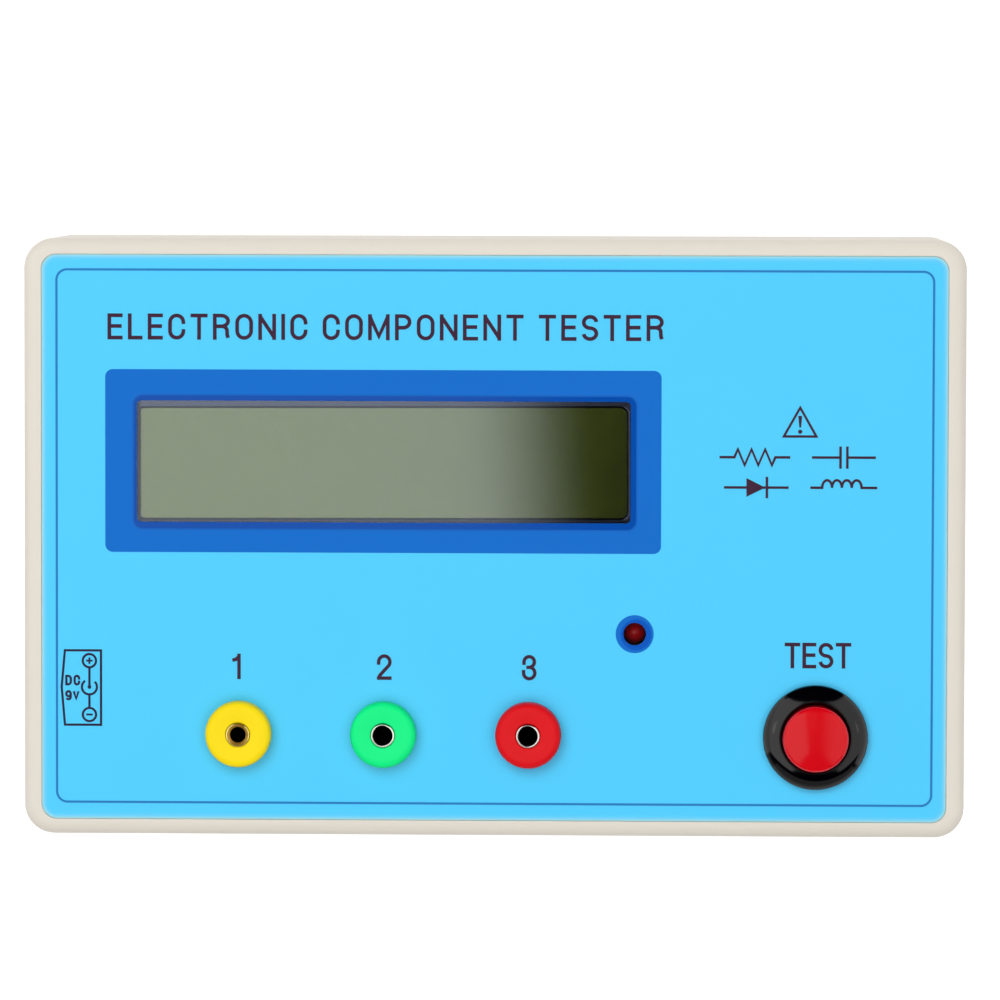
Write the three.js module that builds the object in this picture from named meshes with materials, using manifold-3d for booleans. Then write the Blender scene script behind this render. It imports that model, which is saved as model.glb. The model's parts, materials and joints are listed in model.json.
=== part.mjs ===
// A bench component tester: a shallow two-part moulded case with a printed front film, a two-line
// character display, three coloured pin sockets, an indicator lamp, a push button and a DC inlet.
// Millimetres, +Z up. The case lies on its back, so +Z is the way the front panel faces and +Y is
// the panel's top edge. The origin is the centre of the case's back face.
import * as THREE from 'three';
import { mergeVertices } from 'three/addons/utils/BufferGeometryUtils.js';
import Module from 'manifold-3d';

const wasm = await Module();
wasm.setup();

// ---------------------------------------------------------------- driving dimensions

const FIT = 0.1; // running gap between pieces that slide into each other
const REST = 0.05; // gap under a piece that rests on another
const THROUGH = 1; // how far a cutting tool runs past the face it cuts
const ROOT = 0.5; // how far a post or rib runs into the wall that it grows from

const CASE = { width: 124.8, depth: 79.2, height: 32, corner: 4, wall: 2.2, edge: 1.8, floor: 2 };
const SEAM_Z = 14; // middle of the joint between the two covers
const SEAM_GAP = 0.3;
const LIP = { thickness: 0.9, height: 1.3, gap: 0.2 };
const FRONT_INSIDE_Z = 29.4; // inner face of the front wall
const CORNER_POST = { x: 56.5, y: 34, frontRadius: 3.6, backRadius: 3.9, pilot: 1.35, pilotTop: 27 };
const COUNTERBORE = { radius: 2.9, depth: 6 };

const FILM = { width: 120, depth: 75, corner: 2, thickness: 0.4, seatZ: 31.5 };
const PANEL_Z = FILM.seatZ + FILM.thickness; // outer face of the film
const ON_PANEL = PANEL_Z + REST;
const FILM_BACK_Z = FILM.seatZ + REST;
const WINDOW = { x: -14.6, y: 10.1, width: 65.4, depth: 16.1, corner: 0.6 };
const CUTOUT = { x: -14.4, y: 10, width: 66.9, depth: 17.6, corner: 1.2 };

const LCD = { x: -14.7, y: 9.8, boardWidth: 80, boardDepth: 36, boardZ: 18.75, thickness: 1.6 };
const LCD_TOP = LCD.boardZ + LCD.thickness;
const BEZEL = { width: 71.2, depth: 25.2, topZ: 29.25, sheet: 0.5, openWidth: 65, openDepth: 14.6 };
const LCD_HOLE = { dx: 37.5, dy: 15.5, radius: 1.5, postRadius: 2.9, pilot: 1.25, pilotTop: 28 };
const HEADER = { pins: 16, pitch: 2.54, pin: 0.64, x: LCD.x - 12.95, y: LCD.y + 15.5 };

const BOARD = { left: -59.5, right: 24.5, front: -29.8, back: 29.5, z: 6.2, thickness: 1.6 };
const BOARD_TOP = BOARD.z + BOARD.thickness;
const ON_BOARD = BOARD_TOP + REST; // where the board's components stand
const BOARD_FIXING = { holeRadius: 1.3, postRadius: 2.8, pilot: 1.1 };
const BOARD_SCREWS = [[-55.5, 25.5], [20.8, -27]];
const BOARD_PEGS = [[-55.5, -26.5], [20.8, 25.5]];

const SOCKET_XS = [-33.75, -14.55, 4.65]; // three sockets on one line
const SOCKET_Y = -26;
const SOCKET = { flange: 4.36, height: 3, bush: 3.1, hole: 3.2, sleeve: 1.55, bore: 1.1, thread: 1.9 };

const LED = { x: 18.7, y: -12.6, radius: 1.5, topZ: 28.7, flangeZ: 23.4, hole: 2.1, legPitch: 2.54 };

const BUTTON = { x: 42.65, y: -26.15, bezel: 6.93, bezelHeight: 2.2, cap: 4.35, capHeight: 4.6 };
const BUTTON_BODY = { thread: 5.9, hole: 6.05, bore: 4.6, lowerBore: 3.9, floorZ: 15, bottomZ: 13 };
const BUTTON_LEDGE_Z = 22; // step in the bore that the return spring stands on
const BUTTON_SKIRT_Z = 27; // underside of the cap, on top of the spring
const BUTTON_BRIDGE_Z = 17.8;
const TERMINAL_PITCH = 5.2;

const JACK = { y: -20.1, length: 14.2, width: 9, height: 11, bore: 3.15, depth: 9.7, pin: 1 };
const JACK_FACE_X = -CASE.width / 2 + CASE.wall + FIT;
const JACK_AXIS_Z = BOARD_TOP + 6.5;
const JACK_HOLE = 5;

const BATTERY = { x: 39, width: 26.2, thickness: 17.2, length: 46.2, z: 2.1, endY: -9, corner: 2.4 };
const BATTERY_STUDS = { pitch: 12.7, small: 2.85, large: 4, height: 2.2 };
const BATTERY_RIBS = { ys: [0, 14, 28], halfLength: 10, thickness: 1.4, gap: 0.4 }; // they hold it down
const BATTERY_WALLS = { gap: 0.3, thickness: 1, top: 10, leftEnd: 37, rightEnd: 29 };
const CLIP_STOP = { left: 33, right: 46, front: -15.4, back: -14.4, top: 9 }; // rib in front of the clip
const WIRE = 0.6; // radius of every insulated lead
const WIRE_END_Z = ON_BOARD + 0.15; // where a lead meets the main board

// ---------------------------------------------------------------- helpers

// A closed geometry as a solid that can be cut and joined.
function solid(geometry) {
  const bare = geometry.clone();
  bare.deleteAttribute('normal');
  bare.deleteAttribute('uv');
  const merged = mergeVertices(bare, 1e-4);
  const mesh = new wasm.Mesh({
    numProp: 3,
    vertProperties: new Float32Array(merged.attributes.position.array),
    triVerts: new Uint32Array(merged.index.array),
  });
  return new wasm.Manifold(mesh);
}

function geometryOf(shape) {
  const mesh = shape.getMesh();
  const geometry = new THREE.BufferGeometry();
  geometry.setAttribute('position', new THREE.BufferAttribute(mesh.vertProperties, 3));
  geometry.setIndex(new THREE.BufferAttribute(mesh.triVerts, 1));
  geometry.computeVertexNormals();
  return geometry;
}

const join = (first, ...others) => others.reduce((all, next) => all.add(next), first);
const cut = (first, ...tools) => tools.reduce((left, tool) => left.subtract(tool), first);

function roundedRect(width, depth, radius) {
  const x = width / 2;
  const y = depth / 2;
  const shape = new THREE.Shape();
  shape.moveTo(-x + radius, -y);
  shape.lineTo(x - radius, -y);
  shape.absarc(x - radius, -y + radius, radius, -Math.PI / 2, 0, false);
  shape.lineTo(x, y - radius);
  shape.absarc(x - radius, y - radius, radius, 0, Math.PI / 2, false);
  shape.lineTo(-x + radius, y);
  shape.absarc(-x + radius, y - radius, radius, Math.PI / 2, Math.PI, false);
  shape.lineTo(-x, -y + radius);
  shape.absarc(-x + radius, -y + radius, radius, Math.PI, 1.5 * Math.PI, false);
  return shape;
}

// A flat shape raised from z0 to z1.
function prism(shape, z0, z1, curveSegments = 3) {
  const options = { depth: z1 - z0, bevelEnabled: false, curveSegments };
  return solid(new THREE.ExtrudeGeometry(shape, options).translate(0, 0, z0));
}

function roundedSlab({ x = 0, y = 0, width, depth, corner }, z0, z1) {
  return prism(roundedRect(width, depth, corner), z0, z1).translate([x, y, 0]);
}

function box(x0, x1, y0, y1, z0, z1) {
  const geometry = new THREE.BoxGeometry(x1 - x0, y1 - y0, z1 - z0);
  return solid(geometry.translate((x0 + x1) / 2, (y0 + y1) / 2, (z0 + z1) / 2));
}

// An upright cylinder.
function post(radius, z0, z1, x = 0, y = 0, segments = 12) {
  const geometry = new THREE.CylinderGeometry(radius, radius, z1 - z0, segments);
  return solid(geometry.rotateX(Math.PI / 2).translate(x, y, (z0 + z1) / 2));
}

// A cutting tool for a round hole. Its flat sides lie outside the radius, so a pin that size clears them.
function drill(radius, z0, z1, x = 0, y = 0, segments = 12) {
  return post(radius / Math.cos(Math.PI / segments), z0, z1, x, y, segments);
}

// A cylinder lying along X.
function rod(radius, x0, x1, y, z, segments = 16) {
  const geometry = new THREE.CylinderGeometry(radius, radius, x1 - x0, segments);
  return solid(geometry.rotateZ(Math.PI / 2).translate((x0 + x1) / 2, y, z));
}

// A profile of [radius, z] points, listed up the outside, turned round Z.
function turned(profile, segments = 20) {
  const points = profile.map(([radius, z]) => new THREE.Vector2(radius, z));
  return solid(new THREE.LatheGeometry(points, segments).rotateX(Math.PI / 2));
}

function hexagon(acrossFlats, z0, z1) {
  const corner = acrossFlats / 2 / Math.cos(Math.PI / 6);
  return post(corner, z0, z1, 0, 0, 6);
}

// A round wire that follows a smooth curve through its points.
function wire(points, radius, steps, sides = 6) {
  const curve = new THREE.CatmullRomCurve3(points.map((p) => new THREE.Vector3(...p)));
  const section = new THREE.Shape();
  section.absarc(0, 0, radius, 0, 2 * Math.PI, false);
  const options = { steps, extrudePath: curve, curveSegments: sides / 2, bevelEnabled: false };
  return solid(new THREE.ExtrudeGeometry(section, options));
}

const root = new THREE.Group();

// Adds a named piece to a group, with the colour and finish of its material.
function piece(name, shape, finish, group = root) {
  const mesh = new THREE.Mesh(geometryOf(shape), new THREE.MeshStandardMaterial(finish));
  mesh.name = name;
  group.add(mesh);
  return mesh;
}

function groupAt(x, y, z = 0) {
  const group = new THREE.Group();
  group.position.set(x, y, z);
  root.add(group);
  return group;
}

const CREAM = { color: 0xddd4c6, roughness: 0.55, metalness: 0 };
const SKY_FILM = { color: 0x55ccfa, roughness: 0.4, metalness: 0 };
const CLEAR = { color: 0xbfc8c0, roughness: 0.1, metalness: 0 };
const BLACK_PLASTIC = { color: 0x16161a, roughness: 0.3, metalness: 0 };
const RED_PLASTIC = { color: 0xd2141c, roughness: 0.3, metalness: 0 };
const BLACK_STEEL = { color: 0x1c1c1e, roughness: 0.45, metalness: 0.6 };
const DISPLAY_GLASS = { color: 0x3a4a1c, roughness: 0.15, metalness: 0 };
const DIFFUSER = { color: 0xe8ecdc, roughness: 0.5, metalness: 0 };
const BOARD_GREEN = { color: 0x1d5a33, roughness: 0.5, metalness: 0 };
const NICKEL = { color: 0xc8c8c4, roughness: 0.3, metalness: 1 };
const BRASS = { color: 0xc9a45a, roughness: 0.35, metalness: 1 };
const ZINC_STEEL = { color: 0xb4b6ba, roughness: 0.4, metalness: 1 };
const LAMP_RED = { color: 0x8a0f12, roughness: 0.15, metalness: 0 };
const RESISTOR_BLUE = { color: 0x6fa8c8, roughness: 0.5, metalness: 0 };
const SLEEVE_BLUE = { color: 0x27407c, roughness: 0.45, metalness: 0 };
const BATTERY_SKIN = { color: 0x4a5058, roughness: 0.4, metalness: 0 };
const RED_WIRE = { color: 0xc01c1c, roughness: 0.5, metalness: 0 };
const BLACK_WIRE = { color: 0x1a1a1a, roughness: 0.5, metalness: 0 };

// ---------------------------------------------------------------- case

const FRONT_WALL = [FRONT_INSIDE_Z - THROUGH, CASE.height + THROUGH]; // heights of a cut right through it
const frontPanelHoles = [
  ...SOCKET_XS.map((x) => drill(SOCKET.hole, ...FRONT_WALL, x, SOCKET_Y, 16)),
  drill(BUTTON_BODY.hole, ...FRONT_WALL, BUTTON.x, BUTTON.y, 24),
];
const fourCorners = (dx, dy) => [[dx, dy], [-dx, dy], [-dx, -dy], [dx, -dy]];
const postCorners = fourCorners(CORNER_POST.x, CORNER_POST.y);
const lcdCorners = fourCorners(LCD_HOLE.dx, LCD_HOLE.dy).map(([x, y]) => [LCD.x + x, LCD.y + y]);

// The full outside of the case, with every outer edge rounded.
function caseBlank() {
  const { width, depth, height, corner, edge } = CASE;
  const outline = roundedRect(width - 2 * edge, depth - 2 * edge, corner - edge);
  const options = {
    depth: height - 2 * edge,
    bevelThickness: edge,
    bevelSize: edge,
    bevelSegments: 3,
    curveSegments: 2,
  };
  return solid(new THREE.ExtrudeGeometry(outline, options).translate(0, 0, edge));
}

function insideOutline(grow = 0) {
  const { width, depth, corner, wall } = CASE;
  return {
    width: width - 2 * wall + 2 * grow,
    depth: depth - 2 * wall + 2 * grow,
    corner: corner - wall + grow,
  };
}

const everywhere = (z0, z1) => box(-CASE.width, CASE.width, -CASE.depth, CASE.depth, z0, z1);
const jackHole = () => {
  const outside = -CASE.width / 2;
  return rod(JACK_HOLE, outside - THROUGH, outside + CASE.wall + THROUGH, JACK.y, JACK_AXIS_Z, 24);
};

function makeFrontCover() {
  const bottom = SEAM_Z + SEAM_GAP / 2;
  const rebate = insideOutline(LIP.thickness + LIP.gap);
  const shell = cut(
    caseBlank(),
    everywhere(-THROUGH, bottom),
    roundedSlab(insideOutline(), bottom - THROUGH, FRONT_INSIDE_Z),
    roundedSlab(rebate, bottom - THROUGH, bottom + LIP.height + LIP.gap),
    roundedSlab(FILM, FILM.seatZ, CASE.height + THROUGH),
  );
  const cornerPosts = postCorners.map(([x, y]) =>
    post(CORNER_POST.frontRadius, bottom, FRONT_INSIDE_Z + ROOT, x, y).subtract(
      everywhere(bottom - THROUGH, bottom + LIP.height + LIP.gap).subtract(
        roundedSlab(insideOutline(-LIP.gap), bottom - 2 * THROUGH, bottom + 2 * LIP.height + THROUGH),
      ),
    ),
  );
  const lcdPosts = lcdCorners.map(([x, y]) =>
    post(LCD_HOLE.postRadius, LCD_TOP + REST, FRONT_INSIDE_Z + ROOT, x, y),
  );
  const { ys, halfLength, thickness, gap } = BATTERY_RIBS;
  const ribBottom = BATTERY.z + BATTERY.thickness + gap;
  const batteryRibs = ys.map((y) =>
    box(BATTERY.x - halfLength, BATTERY.x + halfLength, y, y + thickness, ribBottom, FRONT_INSIDE_Z + ROOT),
  );
  return cut(
    join(shell, ...cornerPosts, ...lcdPosts, ...batteryRibs),
    roundedSlab(CUTOUT, ...FRONT_WALL),
    post(LED.hole, ...FRONT_WALL, LED.x, LED.y),
    ...frontPanelHoles,
    ...postCorners.map(([x, y]) => post(CORNER_POST.pilot, bottom - THROUGH, CORNER_POST.pilotTop, x, y)),
    ...lcdCorners.map(([x, y]) => post(LCD_HOLE.pilot, LCD.boardZ, LCD_HOLE.pilotTop, x, y)),
    jackHole(),
  );
}

function makeBackCover() {
  const top = SEAM_Z - SEAM_GAP / 2;
  const floorIn = CASE.floor - ROOT;
  const lipTop = SEAM_Z + SEAM_GAP / 2 + LIP.height;
  const shell = cut(
    caseBlank(),
    everywhere(top, CASE.height + THROUGH),
    roundedSlab(insideOutline(), CASE.floor, CASE.height),
  );
  const lip = cut(
    roundedSlab(insideOutline(LIP.thickness), top - ROOT, lipTop),
    roundedSlab(insideOutline(), top - THROUGH, lipTop + THROUGH),
  );
  const cornerPosts = postCorners.map(([x, y]) =>
    post(CORNER_POST.backRadius, floorIn, top - REST, x, y),
  );
  const boardPosts = [...BOARD_SCREWS, ...BOARD_PEGS].map(([x, y]) =>
    post(BOARD_FIXING.postRadius, floorIn, BOARD.z - REST, x, y),
  );
  const walls = BATTERY_WALLS;
  const left = BATTERY.x - BATTERY.width / 2 - walls.gap;
  const right = BATTERY.x + BATTERY.width / 2 + walls.gap;
  const batteryWalls = [
    box(left - walls.thickness, left, BATTERY.endY, walls.leftEnd, floorIn, walls.top),
    box(right, right + walls.thickness, BATTERY.endY, walls.rightEnd, floorIn, walls.top),
    box(CLIP_STOP.left, CLIP_STOP.right, CLIP_STOP.front, CLIP_STOP.back, floorIn, CLIP_STOP.top),
  ];
  return cut(
    join(shell, lip, ...cornerPosts, ...boardPosts, ...batteryWalls),
    ...postCorners.flatMap(([x, y]) => [
      post(COUNTERBORE.radius, -THROUGH, COUNTERBORE.depth, x, y),
      post(CORNER_POST.pilot + 3 * FIT, 0, top + THROUGH, x, y),
    ]),
    ...BOARD_SCREWS.map(([x, y]) => post(BOARD_FIXING.pilot, CASE.floor + ROOT, BOARD.z + THROUGH, x, y)),
    jackHole(),
  );
}

piece('front_cover', makeFrontCover(), CREAM);
piece('back_cover', makeBackCover(), CREAM);

// The printed film is let into the front cover. Its clear area over the display is a piece of its own.
piece(
  'front_overlay',
  cut(
    roundedSlab({ ...FILM, width: FILM.width - 2 * FIT, depth: FILM.depth - 2 * FIT }, FILM_BACK_Z, PANEL_Z),
    roundedSlab(WINDOW, FILM.seatZ - THROUGH, PANEL_Z + THROUGH),
    post(LED.radius, FILM.seatZ - THROUGH, PANEL_Z + THROUGH, LED.x, LED.y),
    ...frontPanelHoles,
  ),
  SKY_FILM,
);
piece(
  'display_window',
  roundedSlab({ ...WINDOW, width: WINDOW.width - FIT, depth: WINDOW.depth - FIT }, FILM_BACK_Z, PANEL_Z),
  CLEAR,
);

// A cross-head screw: the head stands on z 0 and the shank runs down from it.
function screw(headRadius, headHeight, shankRadius, length) {
  const crown = headHeight * 0.45;
  const blank = turned([
    [0, -length],
    [shankRadius, -length + shankRadius],
    [shankRadius, 0],
    [headRadius, 0],
    [headRadius, headHeight - crown],
    [headRadius * 0.7, headHeight - crown * 0.3],
    [0, headHeight],
  ], 10);
  const arm = headRadius * 0.6;
  const half = headRadius * 0.11;
  const bottom = headHeight * 0.45;
  return cut(
    blank,
    box(-arm, arm, -half, half, bottom, headHeight + THROUGH),
    box(-half, half, -arm, arm, bottom, headHeight + THROUGH),
  );
}

// Four long screws join the two covers from the back.
const caseScrew = screw(2.6, 2, 1.2, 19);
postCorners.forEach(([x, y], i) => {
  const mesh = piece(`case_screw_${i + 1}`, caseScrew, ZINC_STEEL);
  mesh.position.set(x, y, COUNTERBORE.depth - REST);
  mesh.rotation.x = Math.PI;
});

// ---------------------------------------------------------------- display module

function makeLcdBoard() {
  const outline = { x: LCD.x, y: LCD.y, width: LCD.boardWidth, depth: LCD.boardDepth, corner: 0.5 };
  const pinHoles = headerPinXs().map((x) =>
    box(-0.45, 0.45, -0.45, 0.45, LCD.boardZ - THROUGH, LCD_TOP + THROUGH).translate([x, HEADER.y, 0]),
  );
  // Two domes of resin cover the driver chips on the back.
  const dome = (x) => turned([[0, -1.8], [3, -1.4], [5.4, 0.2], [0, 0.2]], 14)
    .translate([x, LCD.y, LCD.boardZ]);
  return cut(
    join(roundedSlab(outline, LCD.boardZ, LCD_TOP), dome(LCD.x - 12), dome(LCD.x + 14)),
    ...lcdCorners.map(([x, y]) => drill(LCD_HOLE.radius, LCD.boardZ - THROUGH, LCD_TOP + THROUGH, x, y)),
    ...pinHoles,
  );
}

function headerPinXs() {
  const first = HEADER.x - ((HEADER.pins - 1) * HEADER.pitch) / 2;
  return Array.from({ length: HEADER.pins }, (_, i) => first + i * HEADER.pitch);
}

function makeBezel() {
  const { width, depth, topZ, sheet, openWidth, openDepth } = BEZEL;
  const bottom = LCD_TOP + REST;
  const at = { x: LCD.x, y: LCD.y };
  const inside = { ...at, width: width - 2 * sheet, depth: depth - 2 * sheet, corner: 0.3 };
  return cut(
    roundedSlab({ ...at, width, depth, corner: 0.6 }, bottom, topZ),
    roundedSlab(inside, bottom - THROUGH, topZ - sheet),
    roundedSlab({ ...at, width: openWidth, depth: openDepth, corner: 1 }, bottom, topZ + THROUGH),
  );
}

const insideBezel = (inset) => ({
  x: LCD.x,
  y: LCD.y,
  width: BEZEL.width - 2 * (BEZEL.sheet + inset),
  depth: BEZEL.depth - 2 * (BEZEL.sheet + inset),
  corner: 0.3,
});
const glassTop = BEZEL.topZ - BEZEL.sheet - REST;
const glassBottom = glassTop - 2;
piece('lcd_board', makeLcdBoard(), BOARD_GREEN);
piece('lcd_bezel', makeBezel(), BLACK_STEEL);
piece('lcd_glass', roundedSlab(insideBezel(0.3), glassBottom, glassTop), DISPLAY_GLASS);
piece('lcd_backlight', roundedSlab(insideBezel(0.8), LCD_TOP + REST, glassBottom - FIT), DIFFUSER);

const lcdScrew = screw(2.3, 1.8, 1.1, 8);
lcdCorners.forEach(([x, y], i) => {
  const mesh = piece(`lcd_screw_${i + 1}`, lcdScrew, ZINC_STEEL);
  mesh.position.set(x, y, LCD.boardZ - REST);
  mesh.rotation.x = Math.PI;
});

// The display plugs into the main board by a row of pins.
const headerLength = HEADER.pins * HEADER.pitch;
const headerSocketTop = ON_BOARD + 8.5;
const headerBox = (half, inset, z0, z1) =>
  box(-headerLength / 2 + inset, headerLength / 2 - inset, -half, half, z0, z1)
    .translate([HEADER.x, HEADER.y, 0]);
piece(
  'lcd_header_pins',
  join(
    headerBox(1.25, 0, headerSocketTop + REST, LCD.boardZ - REST),
    ...headerPinXs().map((x) =>
      box(-HEADER.pin / 2, HEADER.pin / 2, -HEADER.pin / 2, HEADER.pin / 2, 10, LCD.boardZ + 2.4)
        .translate([x, HEADER.y, 0]),
    ),
  ),
  BRASS,
);
piece(
  'lcd_header_socket',
  cut(headerBox(1.3, 0, ON_BOARD, headerSocketTop), headerBox(0.6, 0.6, 9.5, headerSocketTop + THROUGH)),
  BLACK_PLASTIC,
);

// ---------------------------------------------------------------- main board

function makeMainBoard() {
  const width = BOARD.right - BOARD.left;
  const depth = BOARD.back - BOARD.front;
  const x = (BOARD.right + BOARD.left) / 2;
  const y = (BOARD.back + BOARD.front) / 2;
  return cut(
    roundedSlab({ x, y, width, depth, corner: 1 }, BOARD.z, BOARD_TOP),
    ...BOARD_SCREWS.map(([hx, hy]) =>
      drill(BOARD_FIXING.holeRadius, BOARD.z - THROUGH, BOARD_TOP + THROUGH, hx, hy),
    ),
  );
}

// A 28-pin dual-in-line chip, standing on its legs.
function makeChip() {
  const length = 34.8;
  const halfWidth = 3.6;
  const legs = [];
  for (let i = 0; i < 14; i += 1) {
    const x = (i - 6.5) * 2.54;
    for (const side of [-1, 1]) {
      const inner = side * (halfWidth - 0.1);
      const outer = side * (halfWidth + 0.35);
      legs.push(box(x - 0.35, x + 0.35, Math.min(inner, outer), Math.max(inner, outer), 0, 2.6));
    }
  }
  const body = box(-length / 2, length / 2, -halfWidth, halfWidth, 0.8, 4);
  const notch = post(1.2, 3.5, 5, -length / 2, 0);
  return join(cut(body, notch), ...legs);
}

// A small transistor-shaped regulator: a round body with one flat face, on three legs.
function makeRegulator() {
  const outline = new THREE.Shape();
  outline.absarc(0, 0, 2.4, -0.62, Math.PI + 0.62, false);
  const legs = [-1.27, 0, 1.27].map((x) => box(x - 0.25, x + 0.25, -0.25, 0.25, 0, 3));
  return join(prism(outline, 2.5, 7.2, 5), ...legs);
}

function makeCapacitor(radius, height) {
  return turned([
    [0, 0.3],
    [radius, 0.3],
    [radius, 1.6],
    [radius - 0.3, 1.9],
    [radius, 2.2],
    [radius, height - 0.4],
    [radius - 0.4, height],
    [0, height],
  ], 12).add(box(-1.5, -1, -0.25, 0.25, 0, 1)).add(box(1, 1.5, -0.25, 0.25, 0, 1));
}

// An axial resistor lying along X, with its leads bent down to the board.
function makeResistor() {
  const body = turned([
    [0, -3.1],
    [1.15, -2.9],
    [0.95, -1.6],
    [0.95, 1.6],
    [1.15, 2.9],
    [0, 3.1],
  ], 10).rotate([0, 90, 0]).translate([0, 0, 1.4]);
  const lead = (side) => join(
    rod(0.3, Math.min(side * 2.8, side * 4.9), Math.max(side * 2.8, side * 4.9), 0, 1.4, 6),
    post(0.3, 0, 1.6, side * 4.8, 0, 6),
  );
  return join(body, lead(-1), lead(1));
}

function onBoard(name, shape, finish, x, y, turn = 0) {
  const mesh = piece(name, shape, finish);
  mesh.position.set(x, y, ON_BOARD);
  mesh.rotation.z = turn;
  return mesh;
}

piece('main_board', makeMainBoard(), BOARD_GREEN);
onBoard('microcontroller', makeChip(), BLACK_PLASTIC, -15, 4);
onBoard('crystal', prism(roundedRect(11, 4.6, 2.29), 0, 3.5), NICKEL, 14, 10, Math.PI / 2);
onBoard('voltage_regulator', makeRegulator(), BLACK_PLASTIC, -42, -10);
onBoard('filter_capacitor', makeCapacitor(3.15, 11), SLEEVE_BLUE, -41.5, -26);
onBoard('output_capacitor', makeCapacitor(2.5, 11), SLEEVE_BLUE, -24, -25);
SOCKET_XS.forEach((x, i) => onBoard(`probe_resistor_${i + 1}`, makeResistor(), RESISTOR_BLUE, x, -13.5));

// The contrast trimmer: a square body with a round pocket, and a slotted rotor that turns in it.
const TRIMMER = { x: 10.6, y: -19.5, height: 4.4, pocket: 2, pocketDepth: 0.9 };
onBoard(
  'contrast_trimmer_body',
  cut(
    box(-3.3, 3.3, -3.5, 3.5, 0, TRIMMER.height),
    post(TRIMMER.pocket, TRIMMER.height - TRIMMER.pocketDepth, TRIMMER.height + THROUGH),
  ),
  SLEEVE_BLUE,
  TRIMMER.x,
  TRIMMER.y,
);
const rotorBottom = TRIMMER.height - TRIMMER.pocketDepth + FIT;
onBoard(
  'contrast_trimmer_rotor',
  cut(
    post(TRIMMER.pocket - 0.2, rotorBottom, TRIMMER.height + 0.15),
    box(-1.5, 1.5, -0.3, 0.3, TRIMMER.height - 0.35, TRIMMER.height + THROUGH),
  ),
  NICKEL,
  TRIMMER.x,
  TRIMMER.y,
);

const boardScrew = screw(2.3, 1.7, 0.95, 5.1);
BOARD_SCREWS.forEach(([x, y], i) => {
  piece(`board_screw_${i + 1}`, boardScrew, ZINC_STEEL).position.set(x, y, ON_BOARD);
});

// ---------------------------------------------------------------- pin sockets

const socketTop = PANEL_Z + SOCKET.height;

// The coloured insulator: a thick flange on the panel and a bush through it.
function makeSocketInsulator() {
  const { flange, bush, sleeve } = SOCKET;
  const bottom = FRONT_INSIDE_Z + 0.2;
  return turned([
    [sleeve + FIT, bottom],
    [bush, bottom],
    [bush, ON_PANEL],
    [flange, ON_PANEL],
    [flange, socketTop - 0.6],
    [flange - 0.18, socketTop - 0.18],
    [flange - 0.6, socketTop],
    [sleeve + FIT, socketTop],
    [sleeve + FIT, bottom],
  ]);
}

// The metal sleeve that takes the plug pin, threaded outside below the panel.
function makeSocketContact() {
  const { sleeve, bore, thread } = SOCKET;
  const top = socketTop - 0.1;
  const shoulder = FRONT_INSIDE_Z + 0.1;
  return turned([
    [0, 16],
    [thread, 16],
    [thread, shoulder],
    [sleeve, shoulder],
    [sleeve, top],
    [bore + 0.25, top],
    [bore, top - 0.35],
    [bore, 19],
    [0, 19],
  ], 16);
}

const nutTop = FRONT_INSIDE_Z - REST;
const socketNut = cut(hexagon(8, nutTop - 2, nutTop), drill(SOCKET.thread + FIT, 20, 30));

// A ring tag under the nut, with its lead down to the board.
function makeSocketLead() {
  const tagTop = nutTop - 2 - REST;
  const tag = cut(
    join(post(3.4, tagTop - 0.4, tagTop), box(-1, 1, 2, 5.4, tagTop - 0.4, tagTop)),
    drill(SOCKET.thread + FIT, 20, 30),
  );
  const start = tagTop - 0.2;
  const route = [
    [0, 4.7, start],
    [0, 6, start - 1.2],
    [0.4, 6.5, 18],
    [0.1, 6.2, 11],
    [0, 6.1, WIRE_END_Z],
  ];
  const lead = wire(route, WIRE, 8);
  return join(tag, lead);
}

const SOCKET_FINISHES = [
  { name: 'yellow', color: 0xf2dd16, roughness: 0.4, metalness: 0 },
  { name: 'green', color: 0x1edc74, roughness: 0.4, metalness: 0 },
  { name: 'red', color: 0xd81824, roughness: 0.4, metalness: 0 },
];
SOCKET_FINISHES.forEach(({ name, ...finish }, i) => {
  const socket = groupAt(SOCKET_XS[i], SOCKET_Y);
  piece(`${name}_socket_insulator`, makeSocketInsulator(), finish, socket);
  piece(`${name}_socket_contact`, makeSocketContact(), NICKEL, socket);
  piece(`${name}_socket_nut`, socketNut, BRASS, socket);
  piece(`${name}_socket_lead`, makeSocketLead(), finish, socket);
});

// ---------------------------------------------------------------- indicator lamp

function makeLed() {
  const { radius, topZ, flangeZ, legPitch } = LED;
  const dome = [];
  for (let i = 0; i <= 4; i += 1) {
    const angle = (i / 4) * (Math.PI / 2);
    dome.push([radius * Math.cos(angle), topZ - radius + radius * Math.sin(angle)]);
  }
  dome[dome.length - 1][0] = 0;
  const lens = turned([
    [0, flangeZ],
    [radius + 0.4, flangeZ],
    [radius + 0.4, flangeZ + 1],
    [radius, flangeZ + 1],
    ...dome,
  ], 14);
  const leg = (x) => box(x - 0.25, x + 0.25, -0.25, 0.25, ON_BOARD, flangeZ + 0.5);
  return join(lens, leg(-legPitch / 2), leg(legPitch / 2));
}

piece('status_led', makeLed(), LAMP_RED, groupAt(LED.x, LED.y));

// ---------------------------------------------------------------- push button

const button = groupAt(BUTTON.x, BUTTON.y);
const bezelTop = PANEL_Z + BUTTON.bezelHeight;
const capTop = PANEL_Z + BUTTON.capHeight;

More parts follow.
